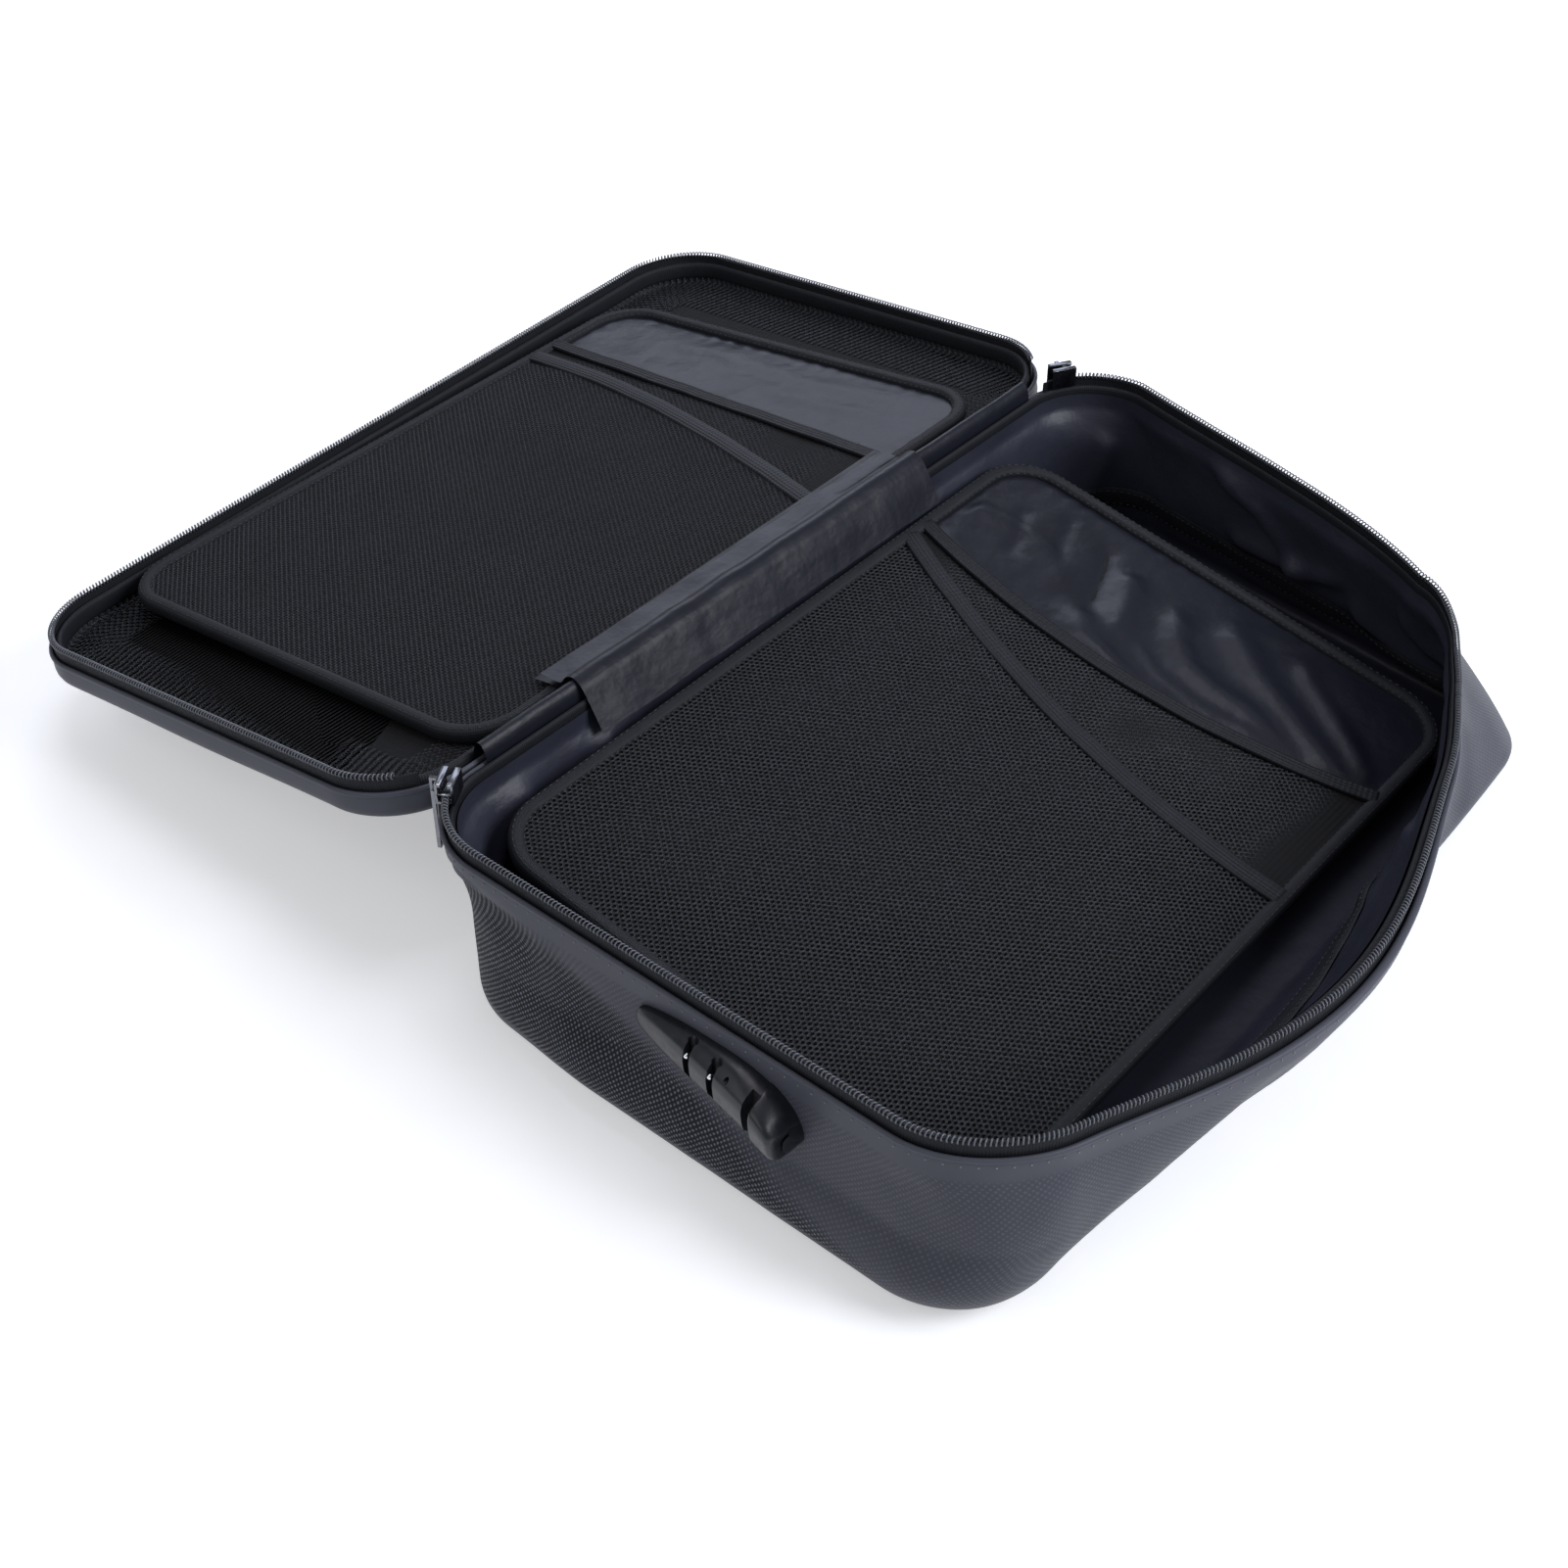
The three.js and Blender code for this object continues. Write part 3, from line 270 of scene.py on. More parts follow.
def outline(inset):
    """Points round the bag at an inset from its outside, from the middle of the hinge side."""
    x, y, r = HALF_X - inset, HALF_Y - inset, CORNER - inset

    def line(start, end, steps):
        share = np.arange(steps)[:, None] / steps
        return np.array(start) * (1 - share) + np.array(end) * share

    def corner(cx, cy, start):
        angle = start + math.pi / 2 * np.arange(CORNER_STEPS) / CORNER_STEPS
        return np.stack([cx + r * np.cos(angle), cy + r * np.sin(angle)], -1)

    return np.vstack([
        line((-x, 0), (-x, -y + r), HINGE_STEPS),
        corner(-x + r, -y + r, math.pi),
        line((-x + r, -y), (x - r, -y), FRONT_STEPS),
        corner(x - r, -y + r, -math.pi / 2),
        line((x, -y + r), (x, y - r), SIDE_STEPS),
        corner(x - r, y - r, 0),
        line((x - r, y), (-x + r, y), BACK_STEPS),
        corner(-x + r, y - r, math.pi / 2),
        line((-x, y - r), (-x, 0), HINGE_STEPS),
    ])


def ring_at(inset, z):
    """Points round the bag at an inset and a height."""
    return np.column_stack([outline(inset), np.full(ROUND, z)])


def looped(points):
    """Points with the first one again at their end."""
    return np.concatenate([points, points[:1]])


def lengths(points, closed=False):
    """Distance travelled along a row of points, with one more value where it closes."""
    ends = looped(points) if closed else points
    return np.concatenate([[0], np.cumsum(np.linalg.norm(np.diff(ends, axis=0), axis=1))])


def normals_of(grid, closed):
    """Unit normals of a grid of points whose rows run down a wall and columns run round it."""
    if closed:
        around = np.roll(grid, -1, 1) - np.roll(grid, 1, 1)
    else:
        around = np.gradient(grid, axis=1)
    down = np.gradient(grid, axis=0)
    normal = np.cross(down, around)
    size = np.linalg.norm(normal, axis=-1, keepdims=True)
    return normal / np.maximum(size, 1e-9)


def waves(u, v, seed, longest, count=24):
    """Soft, uneven relief from plane waves, about 1 high, with its longest wave in millimetres."""
    rng = np.random.default_rng(seed)
    total = np.zeros(np.broadcast(u, v).shape)
    for i in range(count):
        size = longest * 0.87**i
        angle = rng.uniform(0, math.pi)
        phase = rng.uniform(0, 2 * math.pi)
        run = (u * math.cos(angle) + v * math.sin(angle)) * 2 * math.pi / size
        total += np.sin(run + phase) * 0.8**i
    return total / 3


def ridge(u, v, path, width, height):
    """Relief of one fold that runs along a path of points and dies out at both ends."""
    path = np.asarray(path, float)
    run = lengths(path)
    best = np.full(np.broadcast(u, v).shape, 1e9)
    place = np.zeros_like(best)
    for i in range(len(path) - 1):
        step = path[i + 1] - path[i]
        share = ((u - path[i][0]) * step[0] + (v - path[i][1]) * step[1]) / step.dot(step)
        share = np.clip(share, 0, 1)
        away = np.hypot(u - path[i][0] - share * step[0], v - path[i][1] - share * step[1])
        nearer = away < best
        best = np.where(nearer, away, best)
        place = np.where(nearer, (run[i] + share * (run[i + 1] - run[i])) / run[-1], place)
    ends = fade(place, 0, 0.18) * fade(place, 1, 0.75)
    return height * np.exp(-((best / width) ** 2)) * ends


# Meshes


def new_object(name, mesh):
    made = bpy.data.objects.new(name, mesh)
    bpy.context.scene.collection.objects.link(made)
    return made


def mesh_object(name, points, faces, uv=None, smooth=True):
    """Object from points in millimetres; uv gives each face corner its place on the cloth."""
    mesh = bpy.data.meshes.new(name)
    mesh.from_pydata((np.asarray(points, float).reshape(-1, 3) * MM).tolist(), [], faces)
    if uv is not None:
        layer = mesh.uv_layers.new(name="cloth")
        layer.data.foreach_set("uv", np.asarray(uv, np.float32).ravel())
    mesh.polygons.foreach_set("use_smooth", [smooth] * len(mesh.polygons))
    mesh.update()
    return new_object(name, mesh)


def grid_object(name, grid, uv, closed=False, flip=False):
    """Sheet through a grid of points. uv has one more column than a closed grid."""
    rows, columns = grid.shape[:2]
    here = np.arange(rows - 1)[:, None] * columns
    reach = np.arange(columns if closed else columns - 1)
    after = (reach + 1) % columns
    a, b = here + reach, here + columns + reach
    c, d = here + columns + after, here + after
    faces = np.stack([a, b, c, d], -1).reshape(-1, 4)
    corner = [uv[:-1, reach], uv[1:, reach], uv[1:, reach + 1], uv[:-1, reach + 1]]
    corners = np.stack(corner, 2).reshape(-1, 4, 2)
    if flip:
        faces, corners = faces[:, ::-1], corners[:, ::-1]
    return mesh_object(name, grid, faces.tolist(), corners)


def weld(piece, distance=0.01):
    """Merges points that lie on each other and drops faces with no area."""
    work = bmesh.new()
    work.from_mesh(piece.data)
    bmesh.ops.remove_doubles(work, verts=work.verts, dist=distance * MM)
    bmesh.ops.dissolve_degenerate(work, edges=work.edges, dist=1e-7)
    work.to_mesh(piece.data)
    work.free()
    return piece


def wall_profile(inset, floor, rim, round_, step=2.2):
    """Inset and height from the rim down the wall and round the edge to the floor."""
    levels = np.linspace(rim, floor + round_, max(2, int((rim - floor - round_) / step)))
    angle = np.linspace(math.pi / 2, 0, max(3, int(round_ * 1.2)))[1:]
    edge = np.stack([inset + round_ * (1 - np.sin(angle)), floor + round_ * (1 - np.cos(angle))], -1)
    return np.vstack([np.stack([np.full_like(levels, inset), levels], -1), edge])


def shell_profile(hem, top, floor, edge, step=2.2):
    """From the hem inside a shell, at distances below its top, over the edge and down to the floor."""
    rolled = [(SHELL, top - drop) for drop in hem]
    rolled += [(SHELL * 0.85, top - 0.2), (SHELL / 2, top), (SHELL * 0.15, top - 0.2)]
    return np.vstack([rolled, wall_profile(0, floor, top - 0.9, edge, step)])


def tray_grid(profile, place):
    """Grid of a tray's points, its nominal grid, and its place on the cloth in millimetres."""
    rows = [ring_at(inset, z) for inset, z in profile]
    last = rows[-1]
    for share in np.linspace(1, 0, FLOOR_RINGS + 1)[1:]:
        rows.append(last * np.array([share, share, 1]))
    nominal = np.stack(rows)
    around = lengths(outline(0), closed=True)
    run = np.concatenate([lengths(np.asarray(profile)), np.zeros(FLOOR_RINGS)])
    uv = np.stack(np.meshgrid(around, run), -1)
    floor = np.concatenate([nominal, nominal[:, :1]], 1)[len(profile) - 1:, :, :2]
    uv[len(profile) - 1:] = floor + np.array([FLOOR_MARK, 0])
    return place(nominal), nominal, uv


def band_object(name, section, start, end, place, closed_path=False, flip=False):
    """Band with a fixed closed section of insets and heights that follows the outline."""
    section = np.asarray(section, float)
    at = np.arange(start, end) if closed_path else np.arange(start, end + 1)
    grid = place(np.stack([ring_at(inset, z)[at % ROUND] for inset, z in section]))
    around = lengths(grid[0], closed=closed_path)
    across = lengths(section, closed=True)
    piece = grid_object(name, looped(grid), np.stack(np.meshgrid(around, across), -1), closed_path, flip)
    weld(piece)
    if not closed_path:
        cap_ends(piece)
    return piece


def cap_ends(piece):
    work = bmesh.new()
    work.from_mesh(piece.data)
    bmesh.ops.holes_fill(work, edges=[e for e in work.edges if e.is_boundary], sides=0)
    bmesh.ops.recalc_face_normals(work, faces=work.faces)
    work.to_mesh(piece.data)
    work.free()


def pillow(centre_inset, centre_z, wide, high, power=3.0, count=20):
    """Rounded section of a sewn band: a superellipse."""
    angle = 2 * math.pi * np.arange(count) / count
    c, s = np.cos(angle), np.sin(angle)
    return np.stack([
        centre_inset + wide / 2 * np.sign(c) * np.abs(c) ** (2 / power),
        centre_z + high / 2 * np.sign(s) * np.abs(s) ** (2 / power),
    ], -1)


def finish(piece, body, material, slot, *nodes):
    """A finished piece gets its material, its body and the nodes that it stands for."""
    piece.data.materials.clear()
    piece.data.materials.append(material)
    if body:
        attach(piece, body)
    if nodes:
        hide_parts(*nodes)
    return piece


def paint(name, material):
    """Gives a node of the model that stays visible its material."""
    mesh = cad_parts[name].data
    mesh.materials.clear()
    mesh.materials.append(material)


# Node trees


def node(tree, kind, inputs=None, **settings):
    """Adds one node with its settings. An input is a value, a socket, or a node's first output."""
    made = tree.nodes.new(kind)
    for name, value in settings.items():
        setattr(made, name, value)
    for key, value in (inputs or {}).items():
        if isinstance(value, bpy.types.Node):
            value = value.outputs[0]
        if isinstance(value, bpy.types.NodeSocket):
            tree.links.new(value, made.inputs[key])
        else:
            made.inputs[key].default_value = value
    return made


def linear(colour):
    """Linear colour with alpha from an sRGB hex string."""
    parts = [int(colour[i:i + 2], 16) / 255 for i in (1, 3, 5)]
    return tuple(c / 12.92 if c <= 0.04045 else ((c + 0.055) / 1.055) ** 2.4 for c in parts) + (1.0,)


def new_material(name, **values):
    """Empty material with a shader; values are the shader's own sockets, with _ for a space."""
    made = bpy.data.materials.new(name)
    made.use_nodes = True
    tree = made.node_tree
    tree.nodes.clear()
    shader = node(tree, "ShaderNodeBsdfPrincipled",
                  {label.replace("_", " "): value for label, value in values.items()})
    node(tree, "ShaderNodeOutputMaterial", {"Surface": shader})
    return made, tree, shader


def coloured(tree, shader, share, dark, light):
    """Base colour between two hex colours by a share from 0 to 1."""
    colour = node(tree, "ShaderNodeMix", {0: share, 6: linear(dark), 7: linear(light)}, data_type="RGBA")
    tree.links.new(colour.outputs[2], shader.inputs["Base Color"])


def raised(tree, shader, height, distance):
    """Relief on the shader; a height of 1 stands for a distance in millimetres."""
    relief = node(tree, "ShaderNodeBump", {"Height": height, "Distance": distance * MM, "Strength": 1.0})
    tree.links.new(relief.outputs[0], shader.inputs["Normal"])


def cloth_axes(tree):
    """The cloth's own coordinates in millimetres."""
    parts = node(tree, "ShaderNodeSeparateXYZ", {0: node(tree, "ShaderNodeUVMap", uv_map="cloth")})
    return parts.outputs[0], parts.outputs[1]


def stripes(tree, coordinate, pitch):
    """Wave from -1 to 1 along a coordinate, with its pitch in millimetres."""
    phase = node(tree, "ShaderNodeMath", {0: coordinate, 1: 2 * math.pi / pitch}, operation="MULTIPLY")
    return node(tree, "ShaderNodeMath", {0: phase}, operation="SINE")


def weave(tree, u, v, thread):
    """Plain weave from 0 to 1: every thread passes over one and under the next."""
    over = node(tree, "ShaderNodeMath", {0: stripes(tree, u, 2 * thread), 1: stripes(tree, v, 2 * thread)},
                operation="MULTIPLY")
    return node(tree, "ShaderNodeMath", {0: over, 1: 0.5, 2: 0.5}, operation="MULTIPLY_ADD")


def unevenness(tree, size, detail=3.0):
    """Uneven value from 0 to 1 over the object, with its grain size in millimetres."""
    place = node(tree, "ShaderNodeTexCoord").outputs["Object"]
    return node(tree, "ShaderNodeTexNoise", {"Vector": place, "Scale": 1 / (size * MM), "Detail": detail})


def summed(tree, first, share, second):
    """Two patterns together, the second one with the rest of the share."""
    part = node(tree, "ShaderNodeMath", {0: second, 1: 1 - share}, operation="MULTIPLY")
    return node(tree, "ShaderNodeMath", {0: first, 1: share, 2: part}, operation="MULTIPLY_ADD")


def coated_cloth():
    """Glass-fibre cloth with a silicone coat, calendered so that the weave stays as small dashes.

    The coat is smooth and catches light on the top of each thread; the colour adds a painted glint on
    each thread top and painted shade in the gaps between threads. It is pressed flat in the
    folded strip below the rim and in the strip round the floor. The weave, with its painted glints and
    shade, is strongest on the part of the front wall where light catches the threads, and weaker on the
    rest of the walls and on the floors.
    """
    made, tree, shader = new_material("silicone_coated_glass_cloth", Specular_IOR_Level=0.18)
    u, v = cloth_axes(tree)
    # The threads wander by a few tenths of a millimetre over each 9 mm
    wander = node(tree, "ShaderNodeMath", {0: unevenness(tree, 9), 1: 1.4, 2: u}, operation="MULTIPLY_ADD")
    dash = weave(tree, wander, v, CLOTH_THREAD)
    along = node(tree, "ShaderNodeCombineXYZ", {
        0: node(tree, "ShaderNodeMath", {0: u, 1: 1 / CLOTH_THREAD}, operation="MULTIPLY"),
        1: node(tree, "ShaderNodeMath", {0: v, 1: 1 / (2 * CLOTH_THREAD)}, operation="MULTIPLY"),
    })
    grain = node(tree, "ShaderNodeTexNoise", {"Vector": along, "Scale": 1.0, "Detail": 2.0})
    rough = summed(tree, dash, 0.62, grain)
    # Where light catches the threads: there the weave's relief, its painted glints and its painted shade are
    # strongest
    slanted = node(tree, "ShaderNodeMath", {0: u, 1: -GLINT_FALL, 2: v}, operation="MULTIPLY_ADD")
    sharp = node(tree, "ShaderNodeMapRange", {0: slanted, 1: GLINT_BORDER[0], 2: GLINT_BORDER[1]})
    started = node(tree, "ShaderNodeMapRange", {0: u, 1: GLINT_START[0], 2: GLINT_START[1]})
    both = node(tree, "ShaderNodeMath", {0: sharp, 1: started}, operation="MULTIPLY")
    amount = node(tree, "ShaderNodeMapRange", {0: both, 3: WEAVE_AWAY_FROM_GLINTS})
    flat_top = node(tree, "ShaderNodeMapRange", {0: v, 1: SMOOTH_TOP, 2: SMOOTH_TOP + 2})
    flat_low = node(tree, "ShaderNodeMapRange", {0: v, 1: SMOOTH_LOW, 2: SMOOTH_LOW - 3})
    between = node(tree, "ShaderNodeMath", {0: flat_top, 1: flat_low}, operation="MULTIPLY")
    on_wall = node(tree, "ShaderNodeMath", {0: between, 1: amount}, operation="MULTIPLY")
    marked = FLOOR_MARK / 2
    on_floor = node(tree, "ShaderNodeMapRange", {0: u, 1: marked, 2: marked + 1, 4: FLOOR_WEAVE})
    woven = node(tree, "ShaderNodeMath", {0: on_wall, 1: on_floor}, operation="MAXIMUM")
    signed = node(tree, "ShaderNodeMath", {0: rough, 1: 0.5}, operation="SUBTRACT")
    height = node(tree, "ShaderNodeMath", {0: signed, 1: woven, 2: 0.5}, operation="MULTIPLY_ADD")
    # The tops of the threads get a painted glint and the gaps between them painted shade; the tops are also
    # glossy and the gaps dull
    top = node(tree, "ShaderNodeMapRange", {0: rough, 1: 0.54, 2: 0.8, 3: -0.38, 4: 0.62})
    glint_share = node(tree, "ShaderNodeMath", {0: top, 1: woven, 2: 0.38}, operation="MULTIPLY_ADD")
    coloured(tree, shader, summed(tree, glint_share, 0.88, unevenness(tree, 22)), "#050608", "#6b6d7a")
    gloss = node(tree, "ShaderNodeMapRange", {0: glint_share, 2: 0.6, 3: 0.7, 4: 0.32})
    tree.links.new(gloss.outputs[0], shader.inputs["Roughness"])
    raised(tree, shader, height, 0.42)
    return made


def satin(name, dark, light):
    """Polyester satin: long floats along the cloth give a soft, slightly streaked sheen, and the colour
    paints that sheen as streaks; the colour is also lighter on the crumples and darker in their hollows, a
    painted shade.
    """
    made, tree, shader = new_material(name, Roughness=0.38, Specular_IOR_Level=0.22, Anisotropic=0.3)
    u, v = cloth_axes(tree)
    floats = node(tree, "ShaderNodeCombineXYZ", {
        0: node(tree, "ShaderNodeMath", {0: u, 1: 1 / FLOAT_LONG}, operation="MULTIPLY"),
        1: node(tree, "ShaderNodeMath", {0: v, 1: 1 / FLOAT_APART}, operation="MULTIPLY"),
    })
    streak = node(tree, "ShaderNodeTexNoise", {"Vector": floats, "Scale": 1.0, "Detail": 2.0})
    crumple = unevenness(tree, 26, 4.0)
    # Painted sheen along the floats, and painted shade in the hollows of the crumples
    coloured(tree, shader, summed(tree, streak, 0.4, crumple), dark, light)
    raised(tree, shader, summed(tree, streak, 0.03, crumple), 1.6)
    return made


def narrow_tape(name, dark, light, pitch, roughness, across=True, relief=0.15):
    """Woven narrow tape: fine ribs across it, or along it where it is elastic."""
    made, tree, shader = new_material(name, Roughness=roughness, Specular_IOR_Level=0.25)
    u, v = cloth_axes(tree)
    rib = stripes(tree, u if across else v, pitch)
    fine = stripes(tree, v if across else u, pitch * 1.3)
    both = summed(tree, rib, 0.7, fine)
    height = node(tree, "ShaderNodeMath", {0: both, 1: 0.5, 2: 0.5}, operation="MULTIPLY_ADD")
    # The colour follows the ribs: painted shade in the grooves between them, lighter on their crests
    coloured(tree, shader, summed(tree, height, 0.55, unevenness(tree, 6)), dark, light)
    raised(tree, shader, height, relief)
    return made


def solid_finish(name, dark, light, roughness, grain, relief, **values):
    """Solid stuff with a fine surface grain, in millimetres, and slightly uneven gloss."""
    made, tree, shader = new_material(name, **values)
    fine = unevenness(tree, grain, 2.0)
    broad = unevenness(tree, 9 * grain)
    coloured(tree, shader, broad, dark, light)
    least, most = 0.8 * roughness, 1.2 * roughness
    gloss = node(tree, "ShaderNodeMapRange", {0: broad, 1: 0.3, 2: 0.7, 3: least, 4: most})
    tree.links.new(gloss.outputs[0], shader.inputs["Roughness"])
    raised(tree, shader, fine, relief)
    return made


def knitted_net():
    """Knitted polyester net: dull black thread, with a painted highlight where a loop lies on top."""
    made, tree, shader = new_material("knitted_polyester_net", Roughness=0.6, Specular_IOR_Level=0.3)
    loops = unevenness(tree, 0.9, 1.0)
    glint_on_loops = node(tree, "ShaderNodeMapRange", {0: loops, 1: 0.4, 2: 0.66})
    coloured(tree, shader, glint_on_loops, "#0c0d10", "#2a2c33")
    raised(tree, shader, loops, 0.15)
    return made


# Geometry Nodes


def new_tree(name, inputs):
    """Node tree that turns one geometry into another, with named inputs for its sizes."""
    tree = bpy.data.node_groups.new(name, "GeometryNodeTree")
    tree.interface.new_socket("Geometry", in_out="INPUT", socket_type="NodeSocketGeometry")
    tree.interface.new_socket("Geometry", in_out="OUTPUT", socket_type="NodeSocketGeometry")
    for label, value in inputs.items():
        kind = "NodeSocketMaterial" if value is None else "NodeSocketFloat"
        socket = tree.interface.new_socket(label, in_out="INPUT", socket_type=kind)
        if value is not None:
            socket.default_value = value
    return tree, tree.nodes.new("NodeGroupInput")


def close_tree(tree, geometry, material):
    """Ends a tree with real geometry and its material."""
    real = node(tree, "GeometryNodeRealizeInstances", {0: geometry})
    painted = node(tree, "GeometryNodeSetMaterial", {0: real, 2: material})
    node(tree, "NodeGroupOutput", {0: painted})
    return tree


def copies_along(tree, given, form):
    """Puts a form at each step of a path, its Z along the path and its X along "across"."""
    path = node(tree, "GeometryNodeMeshToCurve", {0: given.outputs["Geometry"]})
    steps = node(tree, "GeometryNodeCurveToPoints", {0: path, 2: given.outputs["Pitch"]}, mode="LENGTH")
    across = node(tree, "GeometryNodeInputNamedAttribute", {0: "across"}, data_type="FLOAT_VECTOR")
    facing = node(tree, "FunctionNodeAxesToRotation", {0: steps.outputs["Tangent"], 1: across},
                  primary_axis="Z", secondary_axis="X")
    copies = node(tree, "GeometryNodeInstanceOnPoints", {0: steps, 2: form, 5: facing})
    smooth = node(tree, "GeometryNodeRealizeInstances", {0: copies})
    return node(tree, "GeometryNodeSetShadeSmooth", {0: smooth}).outputs[0]


def teeth_tree():
    """Zip coil: a slanted loop of nylon thread at each step along the path."""
    tree, given = new_tree("zip_teeth", {
        "Pitch": 1.65 * MM, "Loop Radius": 1.15 * MM, "Loop Height": 1.0, "Thread": 0.31 * MM, "Slant": 0.35,
        "Material": None,
    })
    size = given.outputs
    loop = node(tree, "GeometryNodeCurvePrimitiveCircle", {0: 10, 4: size["Loop Radius"]})
    thread = node(tree, "GeometryNodeCurvePrimitiveCircle", {0: 5, 4: size["Thread"]})
    ring = node(tree, "GeometryNodeCurveToMesh", {0: loop, 1: thread})
    slant = node(tree, "ShaderNodeCombineXYZ", {1: size["Slant"]})
    high = node(tree, "ShaderNodeCombineXYZ", {0: 1.0, 1: size["Loop Height"], 2: 1.0})
    form = node(tree, "GeometryNodeTransform", {0: ring, 2: slant, 3: high})
    return close_tree(tree, copies_along(tree, given, form), size["Material"])


def stitch_tree():
    """Run of stitches: a short round thread at each step along the path."""
    tree, given = new_tree("stitch_run", {
        "Pitch": 3.0 * MM, "Length": 2.1 * MM, "Thread": 0.28 * MM, "Material": None,
    })
    size = given.outputs
    bead = node(tree, "GeometryNodeMeshIcoSphere", {0: 1.0, 1: 1})
    shape = node(tree, "ShaderNodeCombineXYZ", {
        0: size["Thread"], 1: size["Thread"],
        2: node(tree, "ShaderNodeMath", {0: size["Length"], 1: 0.5}, operation="MULTIPLY"),
    })
    form = node(tree, "GeometryNodeTransform", {0: bead, 3: shape})
    return close_tree(tree, copies_along(tree, given, form), size["Material"])


def net_tree():
    """Knitted net: a six-sided loop of flat thread on each point, facing along "facing"."""
    tree, given = new_tree("net_cells", {
        "Cell": 1.5 * MM, "Narrowing": 0.73, "Thread": 0.6 * MM, "Rise": 0.3 * MM, "Material": None,
    })
    size = given.outputs
    cell = node(tree, "GeometryNodeCurvePrimitiveCircle", {0: 6, 4: size["Cell"]})
    # The profile runs inwards: the thread's shared edge lies high, the hole's edge low
    outer = node(tree, "ShaderNodeCombineXYZ", {1: size["Rise"]})
    inward = node(tree, "ShaderNodeMath", {0: size["Thread"], 1: -1.0}, operation="MULTIPLY")
    inner = node(tree, "ShaderNodeCombineXYZ", {0: inward})
    edge = node(tree, "GeometryNodeCurvePrimitiveLine", {0: outer, 1: inner})
    ring = node(tree, "GeometryNodeCurveToMesh", {0: cell, 1: edge})
    narrow = node(tree, "ShaderNodeCombineXYZ", {0: size["Narrowing"], 1: 1.0, 2: 1.0})
    ring = node(tree, "GeometryNodeTransform", {0: ring, 3: narrow})
    points = node(tree, "GeometryNodeMeshToPoints", {0: size["Geometry"]})
    facing = node(tree, "GeometryNodeInputNamedAttribute", {0: "facing"}, data_type="FLOAT_VECTOR")
    along = node(tree, "GeometryNodeInputNamedAttribute", {0: "across"}, data_type="FLOAT_VECTOR")
    turned = node(tree, "FunctionNodeAxesToRotation", {0: facing, 1: along},
                  primary_axis="Z", secondary_axis="X")
    cells = node(tree, "GeometryNodeInstanceOnPoints", {0: points, 2: ring, 5: turned})
    real = node(tree, "GeometryNodeRealizeInstances", {0: cells})
    smooth = node(tree, "GeometryNodeSetShadeSmooth", {0: real})
    return close_tree(tree, smooth, size["Material"])


def grown(name, points, tree, values, vectors, path=True):
    """Runs a tree on a path or a cloud of points with vectors stored on them."""
    mesh = bpy.data.meshes.new(name)
    count = len(points)
    edges = [(i, i + 1) for i in range(count - 1)] if path else []
    mesh.from_pydata((np.asarray(points, float) * MM).tolist(), edges, [])
    for label, directions in vectors.items():
        stored = mesh.attributes.new(label, "FLOAT_VECTOR", "POINT")
        stored.data.foreach_set("vector", np.asarray(directions, np.float32).ravel())
    piece = new_object(name + "_path", mesh)
    change = piece.modifiers.new("grow", "NODES")
    change.node_group = tree
    for item in tree.interface.items_tree:
        if item.in_out == "INPUT" and item.name in values:
            change[item.identifier] = values[item.name]
    graph = bpy.context.evaluated_depsgraph_get()
    plain = bpy.data.meshes.new_from_object(piece.evaluated_get(graph))
    bpy.data.objects.remove(piece)
    for label in list(vectors):
        if label in plain.attributes:
            plain.attributes.remove(plain.attributes[label])
    return new_object(name, plain)


def stitch_run(name, row, up, thread, pitch=None, length=2.1):
    """Row of stitches along points in millimetres, flat side towards a direction."""
    across = np.broadcast_to(np.asarray(up, float), row.shape)
    step = pitch * MM if pitch else sizes().stitch_pitch
    values = {"Pitch": step, "Length": length * MM, "Material": thread}
    return grown(name, row, stitch_tree(), values, {"across": across})


# Settings


class BagSizes(bpy.types.PropertyGroup):
    """Sizes of the cloth details that a user may change."""

    tooth_pitch: bpy.props.FloatProperty(
        name="Tooth pitch", description="Distance between two loops of the zip coil",
        default=1.65 * MM, unit="LENGTH")
    net_pitch: bpy.props.FloatProperty(
        name="Net pitch", description="Distance between two holes of the pocket nets",
        default=2.6 * MM, unit="LENGTH")
    stitch_pitch: bpy.props.FloatProperty(
        name="Stitch pitch", description="Distance between two stitches", default=3.2 * MM, unit="LENGTH")
    fold_height: bpy.props.FloatProperty(
        name="Fold height", description="How far the lining's folds stand up, as a share of the real ones",
        default=1.0, min=0.0, max=1.5)


# Each material and what it is used for
FINISH_USES = {
    "cloth": "Outer shells",
    "satin": "Page backs, sleeve, link and hinge cloth",
    "lining": "Lining of the base",
    "net": "Pocket nets and the lid's lining",
    # The nets' lower layer is a near-black sheet: painted shade seen through the holes
    "under_net": "Lower layer of the nets",
    "tape": "Seam bindings",
    "zip_tape": "Zip tapes",
    "elastic": "Pocket bands",
    "coil": "Zip coils",
    "thread": "Stitches of the shell",
    "dark_thread": "Stitches of the bindings",
    "nickel": "Sliders and pulls",
    "plastic": "Lock and dials",
    "steel": "Pins, plates, shaft and screws",
    "foam": "Wall foam",
    "board": "Stiffeners of the base and lid",
    "page_back": "Undersides of the pages",
}


class BagFinishes(bpy.types.PropertyGroup):
    """Materials, made by their own operator and used by all the others."""

    __annotations__ = {
        label: bpy.props.PointerProperty(
            name=label.replace("_", " ").capitalize(), description=use, type=bpy.types.Material)
        for label, use in FINISH_USES.items()
    }


def finishes():
    return bpy.context.scene.bag_finishes


def sizes():
    return bpy.context.scene.bag_sizes


